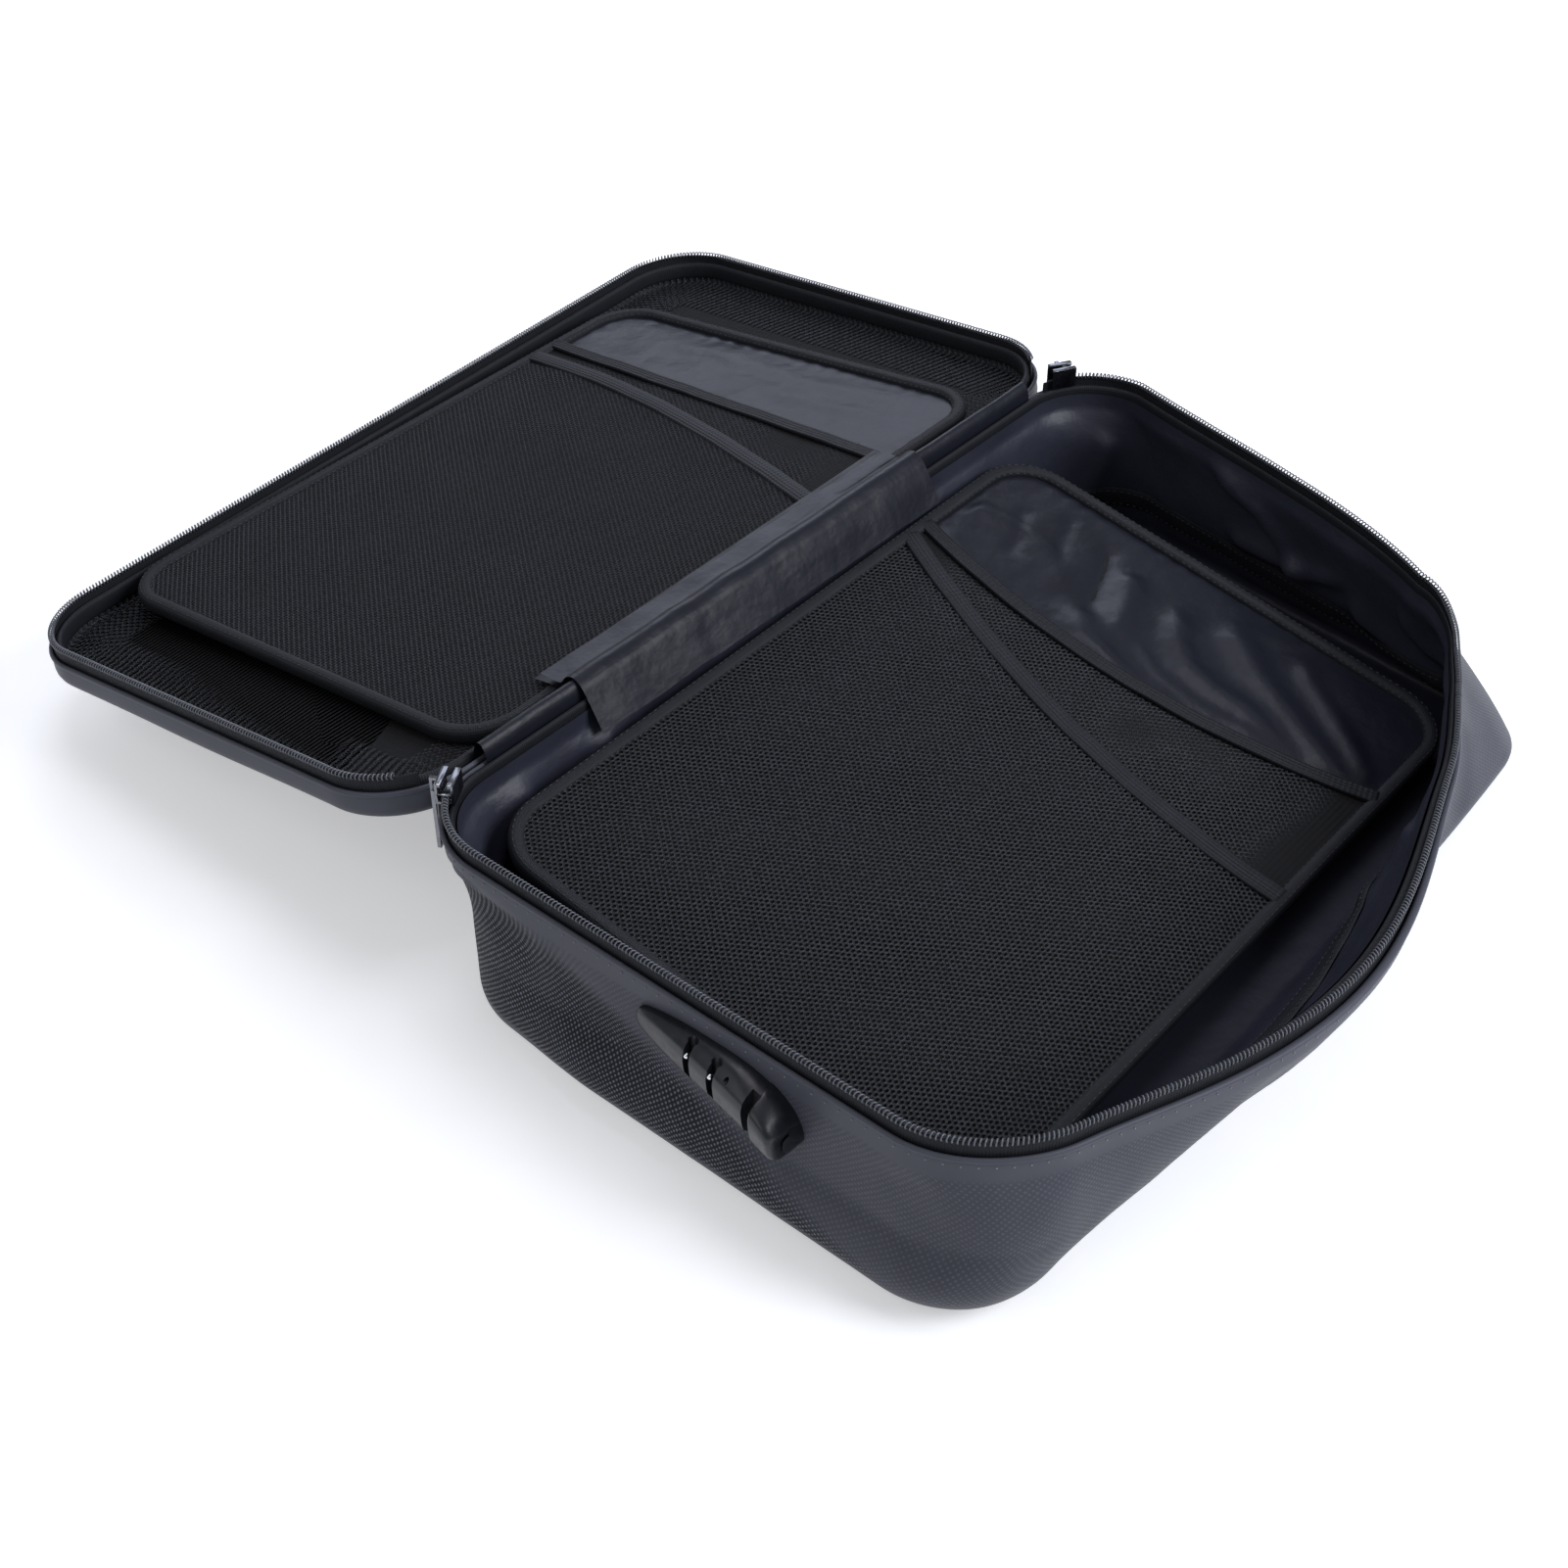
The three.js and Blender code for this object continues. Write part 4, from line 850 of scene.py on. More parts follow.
class BAG_OT_finishes(bpy.types.Operator):
    """Makes the materials"""

    bl_idname = "bag.finishes"
    bl_label = "Materials"

    def execute(self, context):
        made = finishes()
        made.cloth = coated_cloth()
        made.satin = satin("polyester_satin", "#101118", "#1f212b")
        # The lining is the same satin, stretched over the foam; its lighter colour is painted light on the
        # base's walls
        made.lining = satin("polyester_satin_painted_lighter", "#20212a", "#363844")
        made.net = knitted_net()
        # Polyester binding with ribs 0.9 mm apart, folded over the seams: matt and finely ribbed
        made.tape = narrow_tape("woven_polyester_binding", "#0d0e11", "#202228", 0.9, 0.6)
        # Zip tape, ribs 1.1 mm apart: the same, duller
        made.zip_tape = narrow_tape("woven_zip_tape", "#0e0f12", "#212329", 1.1, 0.7)
        # Covered elastic, its rubber cords 1.7 mm apart: soft ridges along the band
        made.elastic = narrow_tape(
            "covered_elastic", "#0c0d10", "#22242a", 1.7, 0.55, across=False, relief=0.35)
        # Extruded black nylon thread, glossy, so every loop carries a streak of light; its colour is raised
        # to grey as a painted highlight on each loop
        made.coil = solid_finish("extruded_nylon", "#4c4e55", "#65676f", 0.3, 0.8, 0.02)
        # Spun polyester thread: fuzzy and matt, black on the bindings and dark grey on the shell, where its
        # colour is raised to a light grey as a painted highlight for the glints of its stitches
        made.thread = solid_finish("polyester_sewing_thread", "#6d7078", "#93969d", 0.5, 0.4, 0.05)
        made.dark_thread = solid_finish("black_sewing_thread", "#17181c", "#2b2d33", 0.6, 0.4, 0.05)
        # Die-cast zinc with a dark nickel plate, called gunmetal on zips: grey, with clear reflections
        made.nickel = solid_finish("dark_nickel_plate", "#64666b", "#85878b", 0.24, 0.5, 0.008, Metallic=1.0)
        # Injection-moulded ABS with a fine spark-eroded texture: a broad, soft highlight
        made.plastic = solid_finish(
            "moulded_abs", "#15161b", "#1d1f26", 0.33, 0.35, 0.012, Specular_IOR_Level=0.4)
        # Turned and polished steel: the lock's pins stay bright in their dark slots
        made.steel = solid_finish("polished_steel", "#d0d3d6", "#e4e6e8", 0.12, 0.6, 0.004, Metallic=1.0)
        # Closed-cell polyethylene foam: dull, with pores of about a millimetre
        made.foam = solid_finish("closed_cell_foam", "#1c1d21", "#2a2c31", 0.9, 1.2, 0.3)
        # Pressed pulp board: dull, with a short-fibred grain
        made.board = solid_finish("grey_pulp_board", "#2b2c31", "#393b41", 0.8, 0.7, 0.08)
        # The net's lower layer lies flat on the page; it is near-black, painted shade that shows through the
        # holes
        made.under_net = narrow_tape("painted_net_shade_sheet", "#040405", "#0e0f12", 2.2, 0.8)
        # Pressed polyester felt, glued on the boards: dull and nearly black
        made.page_back = solid_finish(
            "pressed_polyester_felt", "#101115", "#1a1b20", 0.8, 0.5, 0.1, Specular_IOR_Level=0.2)
        return {"FINISHED"}


class BAG_OT_base_shell(bpy.types.Operator):
    """Base tray of coated cloth, with its hem, and the foam inside it"""

    bl_idname = "bag.base_shell"
    bl_label = "Base shell"

    def execute(self, context):
        made = finishes()
        grid, nominal, uv = tray_grid(shell_profile((9, 1), SHELL_TOP, 0, BASE_EDGE), soft_base)
        shell = grid_object("base_shell_cloth", self.dented(grid, nominal, uv), uv, closed=True)
        finish(weld(shell), "base", made.cloth, "coated_cloth", "base_shell")
        piping = rim_piping("base_shell_piping", SHELL_TOP, soft_base, False)
        finish(piping, "base", made.cloth, "coated_cloth", "base_shell")
        row = soft_base(ring_at(-0.1, SHELL_TOP - 3.4)[FRONT_CORNER:BACK_CORNER + 1])
        stitches = stitch_run("base_shell_stitches", row, (0, 0, 1), made.thread, 5.5, 0.8)
        finish(stitches, "base", made.thread, "coated_cloth", "base_shell")
        middle = FOAM_INSET + FOAM / 2
        profile = wall_profile(middle, middle, FOAM_TOP, BASE_EDGE - FOAM_INSET, 5)
        grid, nominal, uv = tray_grid(profile, soft_base)
        foam = weld(grid_object("base_foam_lining", grid, uv, closed=True))
        finish(foam, "base", made.foam, "foam", "base_foam")
        return {"FINISHED"}

    def dented(self, grid, nominal, uv):
        """Soft dents where the free wall bows, and a slight unevenness all over."""
        normal = normals_of(grid, closed=True)
        along, up = nominal[..., 1], nominal[..., 2]
        u = uv[:, :-1, 0]
        wall = fade(up, 4, 22) * fade(up, SHELL_TOP, SHELL_TOP - 14)
        free = fade(nominal[..., 0], 60, 120)
        relief = waves(u, up, 5, 120) * 0.9 * wall
        for path, width, height in DENTS:
            relief -= ridge(along, up, path, width, height) * wall * free
        for path, width, height in END_DENTS:
            relief -= ridge(u, up, path, width, height) * wall
        # The foam behind the cloth stops a dent
        relief = np.where(relief < 0, -DENT_LIMIT * np.tanh(-relief / DENT_LIMIT), relief)
        return grid + normal * relief[..., None]


# How far the cloth can go in before it meets the foam
DENT_LIMIT = 1.7

# Soft dents of the free wall: path along the wall and up it, reach and depth
DENTS = [
    ([(-190, 20), (-170, 45), (-150, 60)], 11, 2.6),
    ([(-120, 15), (-95, 45), (-85, 66)], 13, 2.2),
    ([(-40, 10), (-15, 40), (0, 62)], 15, 2.4),
    ([(45, 12), (60, 35), (90, 60)], 13, 2.8),
    ([(110, 15), (125, 40), (140, 60)], 11, 2.4),
]


# Dents of the front wall and its corners: path round the bag and up it, reach and depth
END_DENTS = [
    ([(214, 70), (236, 62), (256, 52)], 8, 1.8),
    ([(262, 54), (286, 42), (318, 26)], 9, 2.0),
    ([(330, 20), (350, 24), (372, 20)], 12, 1.2),
    ([(412, 66), (424, 46), (434, 24)], 10, 1.8),
    ([(880, 62), (892, 44), (902, 22)], 10, 2.0),
    ([(930, 60), (960, 40), (1000, 30)], 13, 2.4),
    ([(1120, 20), (1150, 34), (1190, 30)], 14, 1.8),
]


def rim_piping(name, level, place, flip):
    """Thin cord sewn in along a shell's top edge."""
    cord = pillow(0.3, level - 0.5, 2.0, 2.4, 2.0, 12)
    return band_object(name, cord, 0, ROUND, place, closed_path=True, flip=flip)


class BAG_OT_base_lining(bpy.types.Operator):
    """Satin lining of the base, with its folds and the bound seam round its floor"""

    bl_idname = "bag.base_lining"
    bl_label = "Base lining"

    def execute(self, context):
        made = finishes()
        inner = LINING_INSET + LINING
        profile = wall_profile(inner, LINING_FLOOR + LINING, SHELL_TOP - 1.2, 5, 1.6)
        grid, nominal, uv = tray_grid(profile, soft_base)
        normal = normals_of(grid, closed=True)
        u, up = uv[:, :-1, 0], nominal[..., 2]
        wall = fade(up, 10, 20) * fade(up, SHELL_TOP, SHELL_TOP - 12)
        relief = (waves(u, up, 11, 70) * 0.5 + 0.6) * 1.6 * wall
        for path, width, height in LINING_FOLDS:
            relief += ridge(u, up, path, width, height) * sizes().fold_height
        grid = grid - normal * relief[..., None]
        lining = grid_object("base_satin_lining", grid, uv, closed=True, flip=True)
        finish(weld(lining), "base", made.lining, "satin_lining", "base_lining")
        self.seam_band(made, grid, normal, uv, profile[:, 1])
        return {"FINISHED"}

    def seam_band(self, made, grid, normal, uv, level):
        """Bound seam between the lining's wall and the part round its floor."""
        rows = np.flatnonzero((level >= SEAM_LOW) & (level <= SEAM_HIGH))
        share = np.linspace(-1, 1, len(rows))[:, None]
        pucker = 0.16 * np.cos(2 * math.pi * uv[rows, :-1, 0] / (sizes().stitch_pitch / MM)) * share**2
        lift = 0.5 + 1.2 * np.sqrt(np.maximum(0, 1 - share**4)) + pucker
        top = grid[rows] - normal[rows] * lift[..., None]
        band = weld(grid_object("base_lining_seam_band", top, uv[rows], closed=True, flip=True))
        finish(band, "base", made.tape, "satin_lining", "base_lining")
        for label, row in (("upper", 1), ("lower", -2)):
            facing = looped(normal[rows[row]])
            path = looped(top[row]) - 0.1 * facing
            stitches = stitch_run(f"base_lining_{label}_stitches", path, facing, made.dark_thread)
            finish(stitches, "base", made.dark_thread, "satin_lining", "base_lining")


# Heights of the lining's bound seam
SEAM_LOW = 20.5
SEAM_HIGH = 32.5

# Folds of the lining: distance round the bag and height, reach and how far they stand out
LINING_FOLDS = [
    ([(1015, 70), (985, 62), (962, 42), (948, 34)], 5.0, 4.0),
    ([(1010, 38), (975, 40), (930, 52)], 5.0, 4.5),
    ([(938, 40), (905, 30), (860, 22)], 8.0, 5.0),
    ([(900, 60), (880, 45), (845, 38)], 7.0, 3.0),
    ([(830, 62), (800, 44), (770, 36)], 7.0, 3.2),
    ([(700, 60), (690, 40), (670, 20)], 8.0, 3.0),
    ([(600, 60), (585, 38), (570, 20)], 8.0, 2.5),
    ([(1080, 62), (1090, 40), (1100, 20)], 6.0, 3.0),
    ([(110, 66), (125, 45), (140, 25)], 6.0, 3.5),
    ([(150, 68), (175, 50), (200, 30)], 7.0, 3.0),
]


class BAG_OT_base_rim(bpy.types.Operator):
    """Seam binding, zip tape and single zip teeth round the base's rim"""

    bl_idname = "bag.base_rim"
    bl_label = "Base rim"

    def execute(self, context):
        made = finishes()
        roll = pillow(BINDING_INSET + 1.1, TAPE_LOW + BINDING_HIGH / 2 + 0.2, 2.6, BINDING_HIGH)
        binding = band_object("base_rim_binding_roll", roll, 0, ROUND, soft_base, closed_path=True)
        finish(binding, "base", made.tape, "binding_tape", "base_rim_binding")
        tape = zip_tape("base_zip_tape_cloth", TAPE_LOW, TAPE_TOP, 1, soft_base)
        finish(tape, "base", made.zip_tape, "binding_tape", "base_zip_tape")
        teeth = zip_teeth("base_zip_teeth", BASE_DEPTH - COIL_DROP - COIL_HIGH / 2, 2, soft_base, 1)
        finish(teeth, "base", made.coil, "zip_nylon", "base_zip_coil")
        return {"FINISHED"}


def zip_tape(name, low, top, ends, place):
    """Flat tape along a rim, between the hinge corners less a number of the CAD's steps."""
    flat = pillow(TAPE_INSET + TAPE / 2, (low + top + 1) / 2, TAPE, top + 1 - low, 6)
    return band_object(name, flat, FRONT_CORNER + ends * STATION, BACK_CORNER - ends * STATION, place)


def zip_teeth(name, level, ends, place, side):
    """Teeth along a rim, between the hinge corners. ends counts the CAD's steps left out."""
    at = np.arange(FRONT_CORNER + ends * STATION, BACK_CORNER - ends * STATION + 1)
    low = ring_at(COIL_INSET, level)[at]
    across = place(ring_at(COIL_INSET - 1, level)[at]) - place(low)
    values = {"Pitch": sizes().tooth_pitch, "Slant": 0.35 * side, "Material": finishes().coil}
    return grown(name, place(low), teeth_tree(), values, {"across": across})


# How far the lid's net goes in over its floor before the page hides it
LID_NET_REACH = 26


class BAG_OT_lid(bpy.types.Operator):
    """Lid: shell, net lining over its board, rolled binding, zip tape and teeth"""

    bl_idname = "bag.lid"
    bl_label = "Lid"

    def execute(self, context):
        made = finishes()
        grid, nominal, uv = tray_grid(shell_profile((3,), LID_SHELL_TOP, -LID_DEPTH, LID_EDGE, 1.4), soft_lid)
        swell = 0.9 * (0.5 + 0.5 * waves(nominal[..., 0], nominal[..., 1], 13, 150, 9))
        swell = swell * fade(nominal[..., 2], LID_SHELL_TOP - 1, LID_SHELL_TOP - 8)
        grid = grid - normals_of(grid, closed=True) * swell[..., None]
        shell = weld(grid_object("lid_shell_cloth", grid, uv, closed=True, flip=True))
        finish(shell, "lid", made.cloth, "coated_cloth", "lid_shell")
        piping = rim_piping("lid_shell_piping", LID_SHELL_TOP, soft_lid, True)
        finish(piping, "lid", made.cloth, "coated_cloth", "lid_shell")
        paint("lid_board", made.board)
        roll = pillow(BINDING_INSET + 1.4, (LID_TAPE_LOW + LID_SHELL_TOP + 2) / 2, 3.4, 8.2)
        binding = band_object("lid_rim_binding_roll", roll, 0, ROUND, soft_lid, closed_path=True, flip=True)
        finish(binding, "lid", made.tape, "binding_tape", "lid_rim_binding")
        tape = zip_tape("lid_zip_tape_cloth", LID_TAPE_LOW, LID_TAPE_TOP, 2, soft_lid)
        finish(tape, "lid", made.zip_tape, "binding_tape", "lid_zip_tape")
        teeth = zip_teeth("lid_zip_teeth", -COIL_DROP - COIL_HIGH / 2, 3, soft_lid, -1)
        finish(teeth, "lid", made.coil, "zip_nylon", "lid_zip_coil")
        lining = self.net_lining(made)
        finish(lining, "lid", made.net, "mesh", "lid_mesh_lining")
        # The lid's floor sheet is near-black: painted shade under the net's cells
        floor = self.lining_floor()
        finish(floor, "lid", made.under_net, "mesh", "lid_mesh_lining")
        return {"FINISHED"}

    def lining_floor(self):
        """Near-black sheet where the net lies flat on the lid's board and under the open cells along its
        walls: the net there, and painted shade seen through the cells.
        """
        level = LID_LINING_FLOOR + LINING / 2
        rings = []
        for inset in np.linspace(LID_LINING_INSET + 3, HALF_X - 1, 40):
            ring = outline(min(inset, CORNER - 1))
            share = (HALF_X - inset) / (HALF_X - min(inset, CORNER - 1))
            rings.append(np.column_stack([ring * share, np.full(len(ring), level)]))
        nominal = np.stack(rings)
        uv = np.concatenate([nominal, nominal[:, :1]], 1)[..., :2]
        piece = weld(grid_object("lid_net_lining_floor", soft_lid(nominal), uv, closed=True))
        cap_ends(piece)
        return piece

    def net_lining(self, made):
        """Net over the inside of the lid, real cells on its walls and on the edge of its floor."""
        inner = LID_LINING_INSET + LINING / 2
        floor = LID_LINING_FLOOR + LINING / 2
        profile = wall_profile(inner, floor, LID_SHELL_TOP + 1, 3, 1.0)
        profile = np.vstack([profile, [(inner + 3 + step, floor) for step in range(1, LID_NET_REACH)]])
        return tray_net("lid_net_lining", profile, soft_lid, made.net)


def tray_net(name, profile, place, material):
    """Net cells on the inside of a tray, over its walls and the edge of its floor."""
    pitch = sizes().net_pitch / MM
    run = lengths(profile)
    points, facing, across = [], [], []
    for i, at in enumerate(np.arange(0, run[-1], pitch / 2)):
        rings = []
        for reach in (at, at + 0.5):
            inset, z = (np.interp(reach, run, profile[:, k]) for k in (0, 1))
            line = place(ring_at(inset, z))
            rings.append(looped(line))
        around = lengths(rings[0])
        wide = 2 * NET_NARROWING * pitch * 0.866
        count = int(around[-1] / wide)
        places = (np.arange(count) + 0.5 * (i % 2)) * around[-1] / count
        spot, below = (
            np.stack([np.interp(places, around, ring[:, k]) for k in range(3)], -1) for ring in rings)
        tangent = np.gradient(spot, axis=0)
        points.append(spot)
        facing.append(np.cross(tangent, below - spot))
        across.append(tangent)
    vectors = {"facing": np.vstack(facing), "across": np.vstack(across)}
    return grown(name, np.vstack(points), net_tree(), net_sizes(material), vectors, path=False)


def net_sizes(material):
    """Values of the net's tree for the pitch of its holes along a column."""
    pitch = sizes().net_pitch
    return {"Cell": pitch * 0.577, "Narrowing": NET_NARROWING, "Thread": 0.21 * pitch, "Rise": 0.1 * pitch,
            "Material": material}


def page_path(inset, near):
    """Points round a page at an inset, from the middle of its hinge edge."""
    x0, x1, r = inset, PAGE_WIDE - inset, PAGE_CORNER - inset
    low, high = inset - near + r, PAGE_FAR - inset - r
    corners = [((x0 + r, low), math.pi), ((x1 - r, low), -math.pi / 2), ((x1 - r, high), 0),
               ((x0 + r, high), math.pi / 2)]
    knots = [np.array([[x0, 0.0]])]
    for (cx, cy), start in corners:
        angle = start + math.pi / 2 * np.arange(PAGE_CORNER_STEPS + 1) / PAGE_CORNER_STEPS
        arc = np.stack([cx + r * np.cos(angle), cy + r * np.sin(angle)], -1)
        knots += [straight(knots[-1][-1], arc[0]), arc]
    knots.append(straight(knots[-1][-1], knots[0][0]))
    return np.vstack(knots)


def straight(start, end):
    """Points between two others, which aren't in it, 3 mm apart on a page-sized side."""
    long = PAGE_LONG if abs(end[1] - start[1]) > abs(end[0] - start[0]) else PAGE_WIDE
    share = np.linspace(0, 1, int(long / 6) + 1)[1:-1, None]
    return start * (1 - share) + end * share


def inside_page(x, y, inset, near):
    """Whether points lie inside the page's rounded outline at an inset."""
    cx = np.maximum(np.abs(x - PAGE_WIDE / 2) - (PAGE_WIDE / 2 - PAGE_CORNER), 0)
    cy = np.maximum(np.maximum(y - (PAGE_FAR - PAGE_CORNER), -y - (near - PAGE_CORNER)), 0)
    return np.hypot(cx, cy) <= PAGE_CORNER - inset


def page_ends(x, inset, near):
    """Where a page's near and far ends lie at points across it, at an inset."""
    corner = PAGE_CORNER - inset
    reach = np.maximum(np.abs(x - PAGE_WIDE / 2) - (PAGE_WIDE / 2 - inset - corner), 0)
    round_ = corner - np.sqrt(np.maximum(corner**2 - reach**2, 0))
    return inset - near + round_, PAGE_FAR - inset - round_


# Mouths of the pockets, as a distance along the page for each share of its width
MOUTHS = {
    "base_page": {
        "front": lambda s: 20 + 56 * (1 - s) ** 2,
        "rear": lambda s: 73 + 70 * (s - 0.45) ** 2,
    },
    "lid_page": {
        "front": lambda s: 44 + 47 * np.sin(math.pi / 2 * s),
        "rear": lambda s: 91 + 15 * s,
    },
}

# Folds of the satin behind the pockets: path across and along the page, reach and height
PAGE_FOLDS = {
    "base_page": [
        ([(74, 104), (80, 92), (90, 84), (103, 78), (120, 70), (136, 69), (153, 72), (170, 75), (196, 78)],
         7.5, 3.0),
        ([(108, 134), (113, 122), (120, 110), (132, 100), (146, 96), (162, 96), (176, 92), (196, 84)],
         6.5, 3.2),
        ([(104, 98), (124, 88), (146, 84), (166, 86), (190, 82)], 3.0, 1.2),
        ([(130, 146), (137, 130), (156, 117), (177, 107), (197, 98), (222, 86)], 6.8, 3.4),
        ([(160, 146), (172, 132), (190, 121), (205, 111), (224, 96)], 5.0, 2.4),
        ([(82, 134), (92, 114), (98, 98), (106, 90)], 6.0, 2.0),
        ([(10, 96), (18, 86), (39, 79), (64, 69), (84, 64), (100, 66)], 4.5, 1.7),
        ([(4, 100), (14, 114), (37, 118), (58, 110), (76, 92)], 6.5, 1.8),
        ([(24, 132), (36, 112), (40, 96)], 3.6, -0.9),
        ([(42, 146), (50, 124), (62, 106)], 3.6, -0.9),
        ([(64, 142), (76, 118), (84, 92)], 5.0, -1.4),
    ],
    "lid_page": [
        ([(30, 140), (90, 134), (150, 138), (200, 132)], 7.0, 1.0),
        ([(20, 124), (80, 120), (140, 124)], 6.0, 0.8),
    ],
}

# How far the rear net goes on behind the front one
NET_TUCK = 14


class Page:
    """A pocket page. It is named for the body that it rides on."""

    def __init__(self, name, place):
        self.name = name
        self.place = place
        self.near = PAGE_NEAR[name]
        self.mirrored = place is on_lid_page
        self.mouths = MOUTHS[name]

    def add(self, piece, material, slot, part):
        return finish(piece, self.name, material, slot, f"{self.name}_{part}")

    def build(self):
        made = finishes()
        paint(f"{self.name}_board", made.page_back)
        satin = self.add(self.backing(), made.satin, "satin_lining", "backing")
        self.add(self.edging(), made.tape, "binding_tape", "binding")
        rows = (("inner", PAGE_BOUND - 0.3, BACKING_TOP + 1.6), ("outer", 1.5, PAGE_TOP + 0.05))
        for which, inset, level in rows:
            path = page_path(inset, self.near)
            row = self.place(np.column_stack([path, np.full(len(path), level)]))
            stitches = stitch_run(f"{self.name}_{which}_stitches", row, (0, 0, 1), made.dark_thread)
            self.add(stitches, made.dark_thread, "binding_tape", "binding")
        self.pockets(made)
        for which, wide, ribs, depth in (("rear", REAR_BAND, 4, 0.05), ("front", FRONT_BAND, 5, 0.16)):
            self.add(self.band(which, wide, ribs, depth), made.elastic, "elastic", f"{which}_band")

    def pockets(self, made):
        rear = self.add(self.net("rear", REAR_NET, self.mouths["front"]), made.net, "mesh", "rear_pocket")
        # A near-black sheet of painted shade under the nets, seen through their holes
        under = self.add(self.painted_shade_layer(), made.under_net, "mesh", "rear_pocket")
        front = self.add(self.net("front", FRONT_NET), made.net, "mesh", "front_pocket")
        low, high = (self.mouths[which](np.linspace(0, 1, 51)) for which in ("front", "rear"))

    def cloth(self, inset, steps, end):
        """Grid across and along the page, from its near end to its far end or to a line across it."""
        s, t = np.meshgrid(*(np.linspace(0, 1, count) for count in steps), indexing="ij")
        x = inset + (PAGE_WIDE - 2 * inset) * s
        low, high = page_ends(x, inset, self.near)
        y = low + ((end(s) if end else high) - low) * t
        return x, y

    def backing(self):
        """Satin over a page's board, with folds where no pocket holds it down."""
        x, y = self.cloth(PAGE_EDGE - 1.5, (141, 221), None)
        edge = PAGE_WIDE - x
        free = fade(y, PAGE_FAR - 5, PAGE_FAR - 16) * fade(y, 5 - self.near, 22 - self.near)
        free = free * fade(x, 5, 14) * fade(edge, 5, 14)
        relief = (0.5 + 0.5 * waves(x, y, 3, 60)) * 0.7
        for path, width, height in PAGE_FOLDS[self.name]:
            relief = relief + ridge(x, y, path, width, height) * sizes().fold_height
        # Gathers run in from the binding, where its thread draws the satin up
        apart = np.minimum(np.minimum(x, edge), PAGE_FAR - y) - PAGE_BOUND
        along = np.where(PAGE_FAR - y < np.minimum(x, edge), x, y)
        gathers = 0.35 * np.exp(-np.maximum(apart, 0) / 5) * waves(along, 0 * along, 41, 11, 7)
        mouth = self.mouths["rear"](x / PAGE_WIDE)
        z = BACKING_TOP + (relief * free + gathers) * fade(y, mouth - 2, mouth + 8)
        return self.sheet("satin", x, y, z)

    def sheet(self, part, x, y, z):
        grid = self.place(np.stack([x, y, z], -1))
        return weld(grid_object(f"{self.name}_{part}", grid, np.stack([x, y], -1), flip=not self.mirrored))

    def painted_shade_layer(self):
        """The rear pocket's cloth where it lies on the page, behind the front pocket: a near-black sheet,
        painted shade seen through the nets' holes.
        """
        x, y = self.cloth(PAGE_EDGE - 1, (61, 81), lambda s: self.mouths["rear"](s) - 2)
        return self.sheet("rear_net_painted_shade", x, y, np.full_like(x, BACKING_TOP + 0.55))

    def edging(self):
        """Binding round a page, puckered a little by its stitches."""
        section = pillow(PAGE_BOUND / 2, PAGE_TOP / 2, PAGE_BOUND + 0.2, PAGE_TOP + 0.5, 2.6, 24)
        around = lengths(page_path(0, self.near), closed=True)
        pucker = 0.22 * np.cos(2 * math.pi * around[:-1] / (sizes().stitch_pitch / MM))
        columns = []
        for inset, z in section:
            inner = fade(inset, PAGE_BOUND * 0.6, PAGE_BOUND)
            columns.append(np.column_stack([page_path(inset, self.near), z + pucker * inner]))
        grid = self.place(looped(np.stack(columns)))
        uv = np.stack(np.meshgrid(around, lengths(section, closed=True)), -1)
        return weld(grid_object(f"{self.name}_bound_edge", grid, uv, closed=True, flip=self.mirrored))

    def net(self, which, level, low=None):
        """Net cells below a pocket's mouth, and above another line where they would be hidden."""
        pitch = sizes().net_pitch / MM
        column = NET_NARROWING * pitch * 0.866
        x, y = np.meshgrid(np.arange(2, PAGE_WIDE, column), np.arange(-self.near, 130, pitch), indexing="ij")
        y = y + np.where(np.arange(x.shape[0]) % 2, pitch / 2, 0)[:, None]
        kept = inside_page(x, y, PAGE_EDGE, self.near) & (y < self.mouths[which](x / PAGE_WIDE) - 1)
        if low:
            kept &= y > low(x / PAGE_WIDE) - NET_TUCK
        x, y = x[kept], y[kept]

        def spots(dx, dy):
            return self.place(np.stack([x + dx, y + dy, level + self.swell(x + dx, y + dy)], -1))

        points = spots(0, 0)
        right = spots(0.5, 0) - points
        up = spots(0, 0.5) - points
        facing = np.cross(up, right) if self.mirrored else np.cross(right, up)
        vectors = {"facing": facing, "across": right}
        name = f"{self.name}_{which}_net"
        return grown(name, points, net_tree(), net_sizes(finishes().net), vectors, path=False)

    def swell(self, x, y):
        """Soft waves of a net that is sewn down at its edges."""
        free = fade(x, 4, 40) * fade(x, PAGE_WIDE - 4, PAGE_WIDE - 40) * fade(y, -self.near, 49 - self.near)
        return 1.1 * free * (0.55 + 0.45 * waves(x, y, 21, 90, 9))

    def band(self, which, wide, ribs, depth):
        """Elastic band along a pocket's mouth, with ribs of a number and depth."""
        s = np.linspace(0, 1, 161)
        x = PAGE_EDGE - 1 + (PAGE_WIDE - 2 * PAGE_EDGE + 2) * s
        y = self.mouths[which](s)
        slope = np.gradient(y, x)
        normal = np.stack([-slope, np.ones_like(slope)], -1) / np.hypot(slope, 1)[:, None]
        share = np.linspace(-0.5, 0.5, 46)
        roll = np.sqrt(np.maximum(0, 1 - np.abs(2 * share) ** 6))
        top = BAND_LOW + 0.1 + BAND_THICK * roll + depth * np.cos(share * 2 * math.pi * ribs) * roll
        pucker = 0.5 * waves(x, x * 0, 9, 40)

        def row(part, z):
            return np.column_stack([x + normal[:, 0] * part * wide, y + normal[:, 1] * part * wide, z])

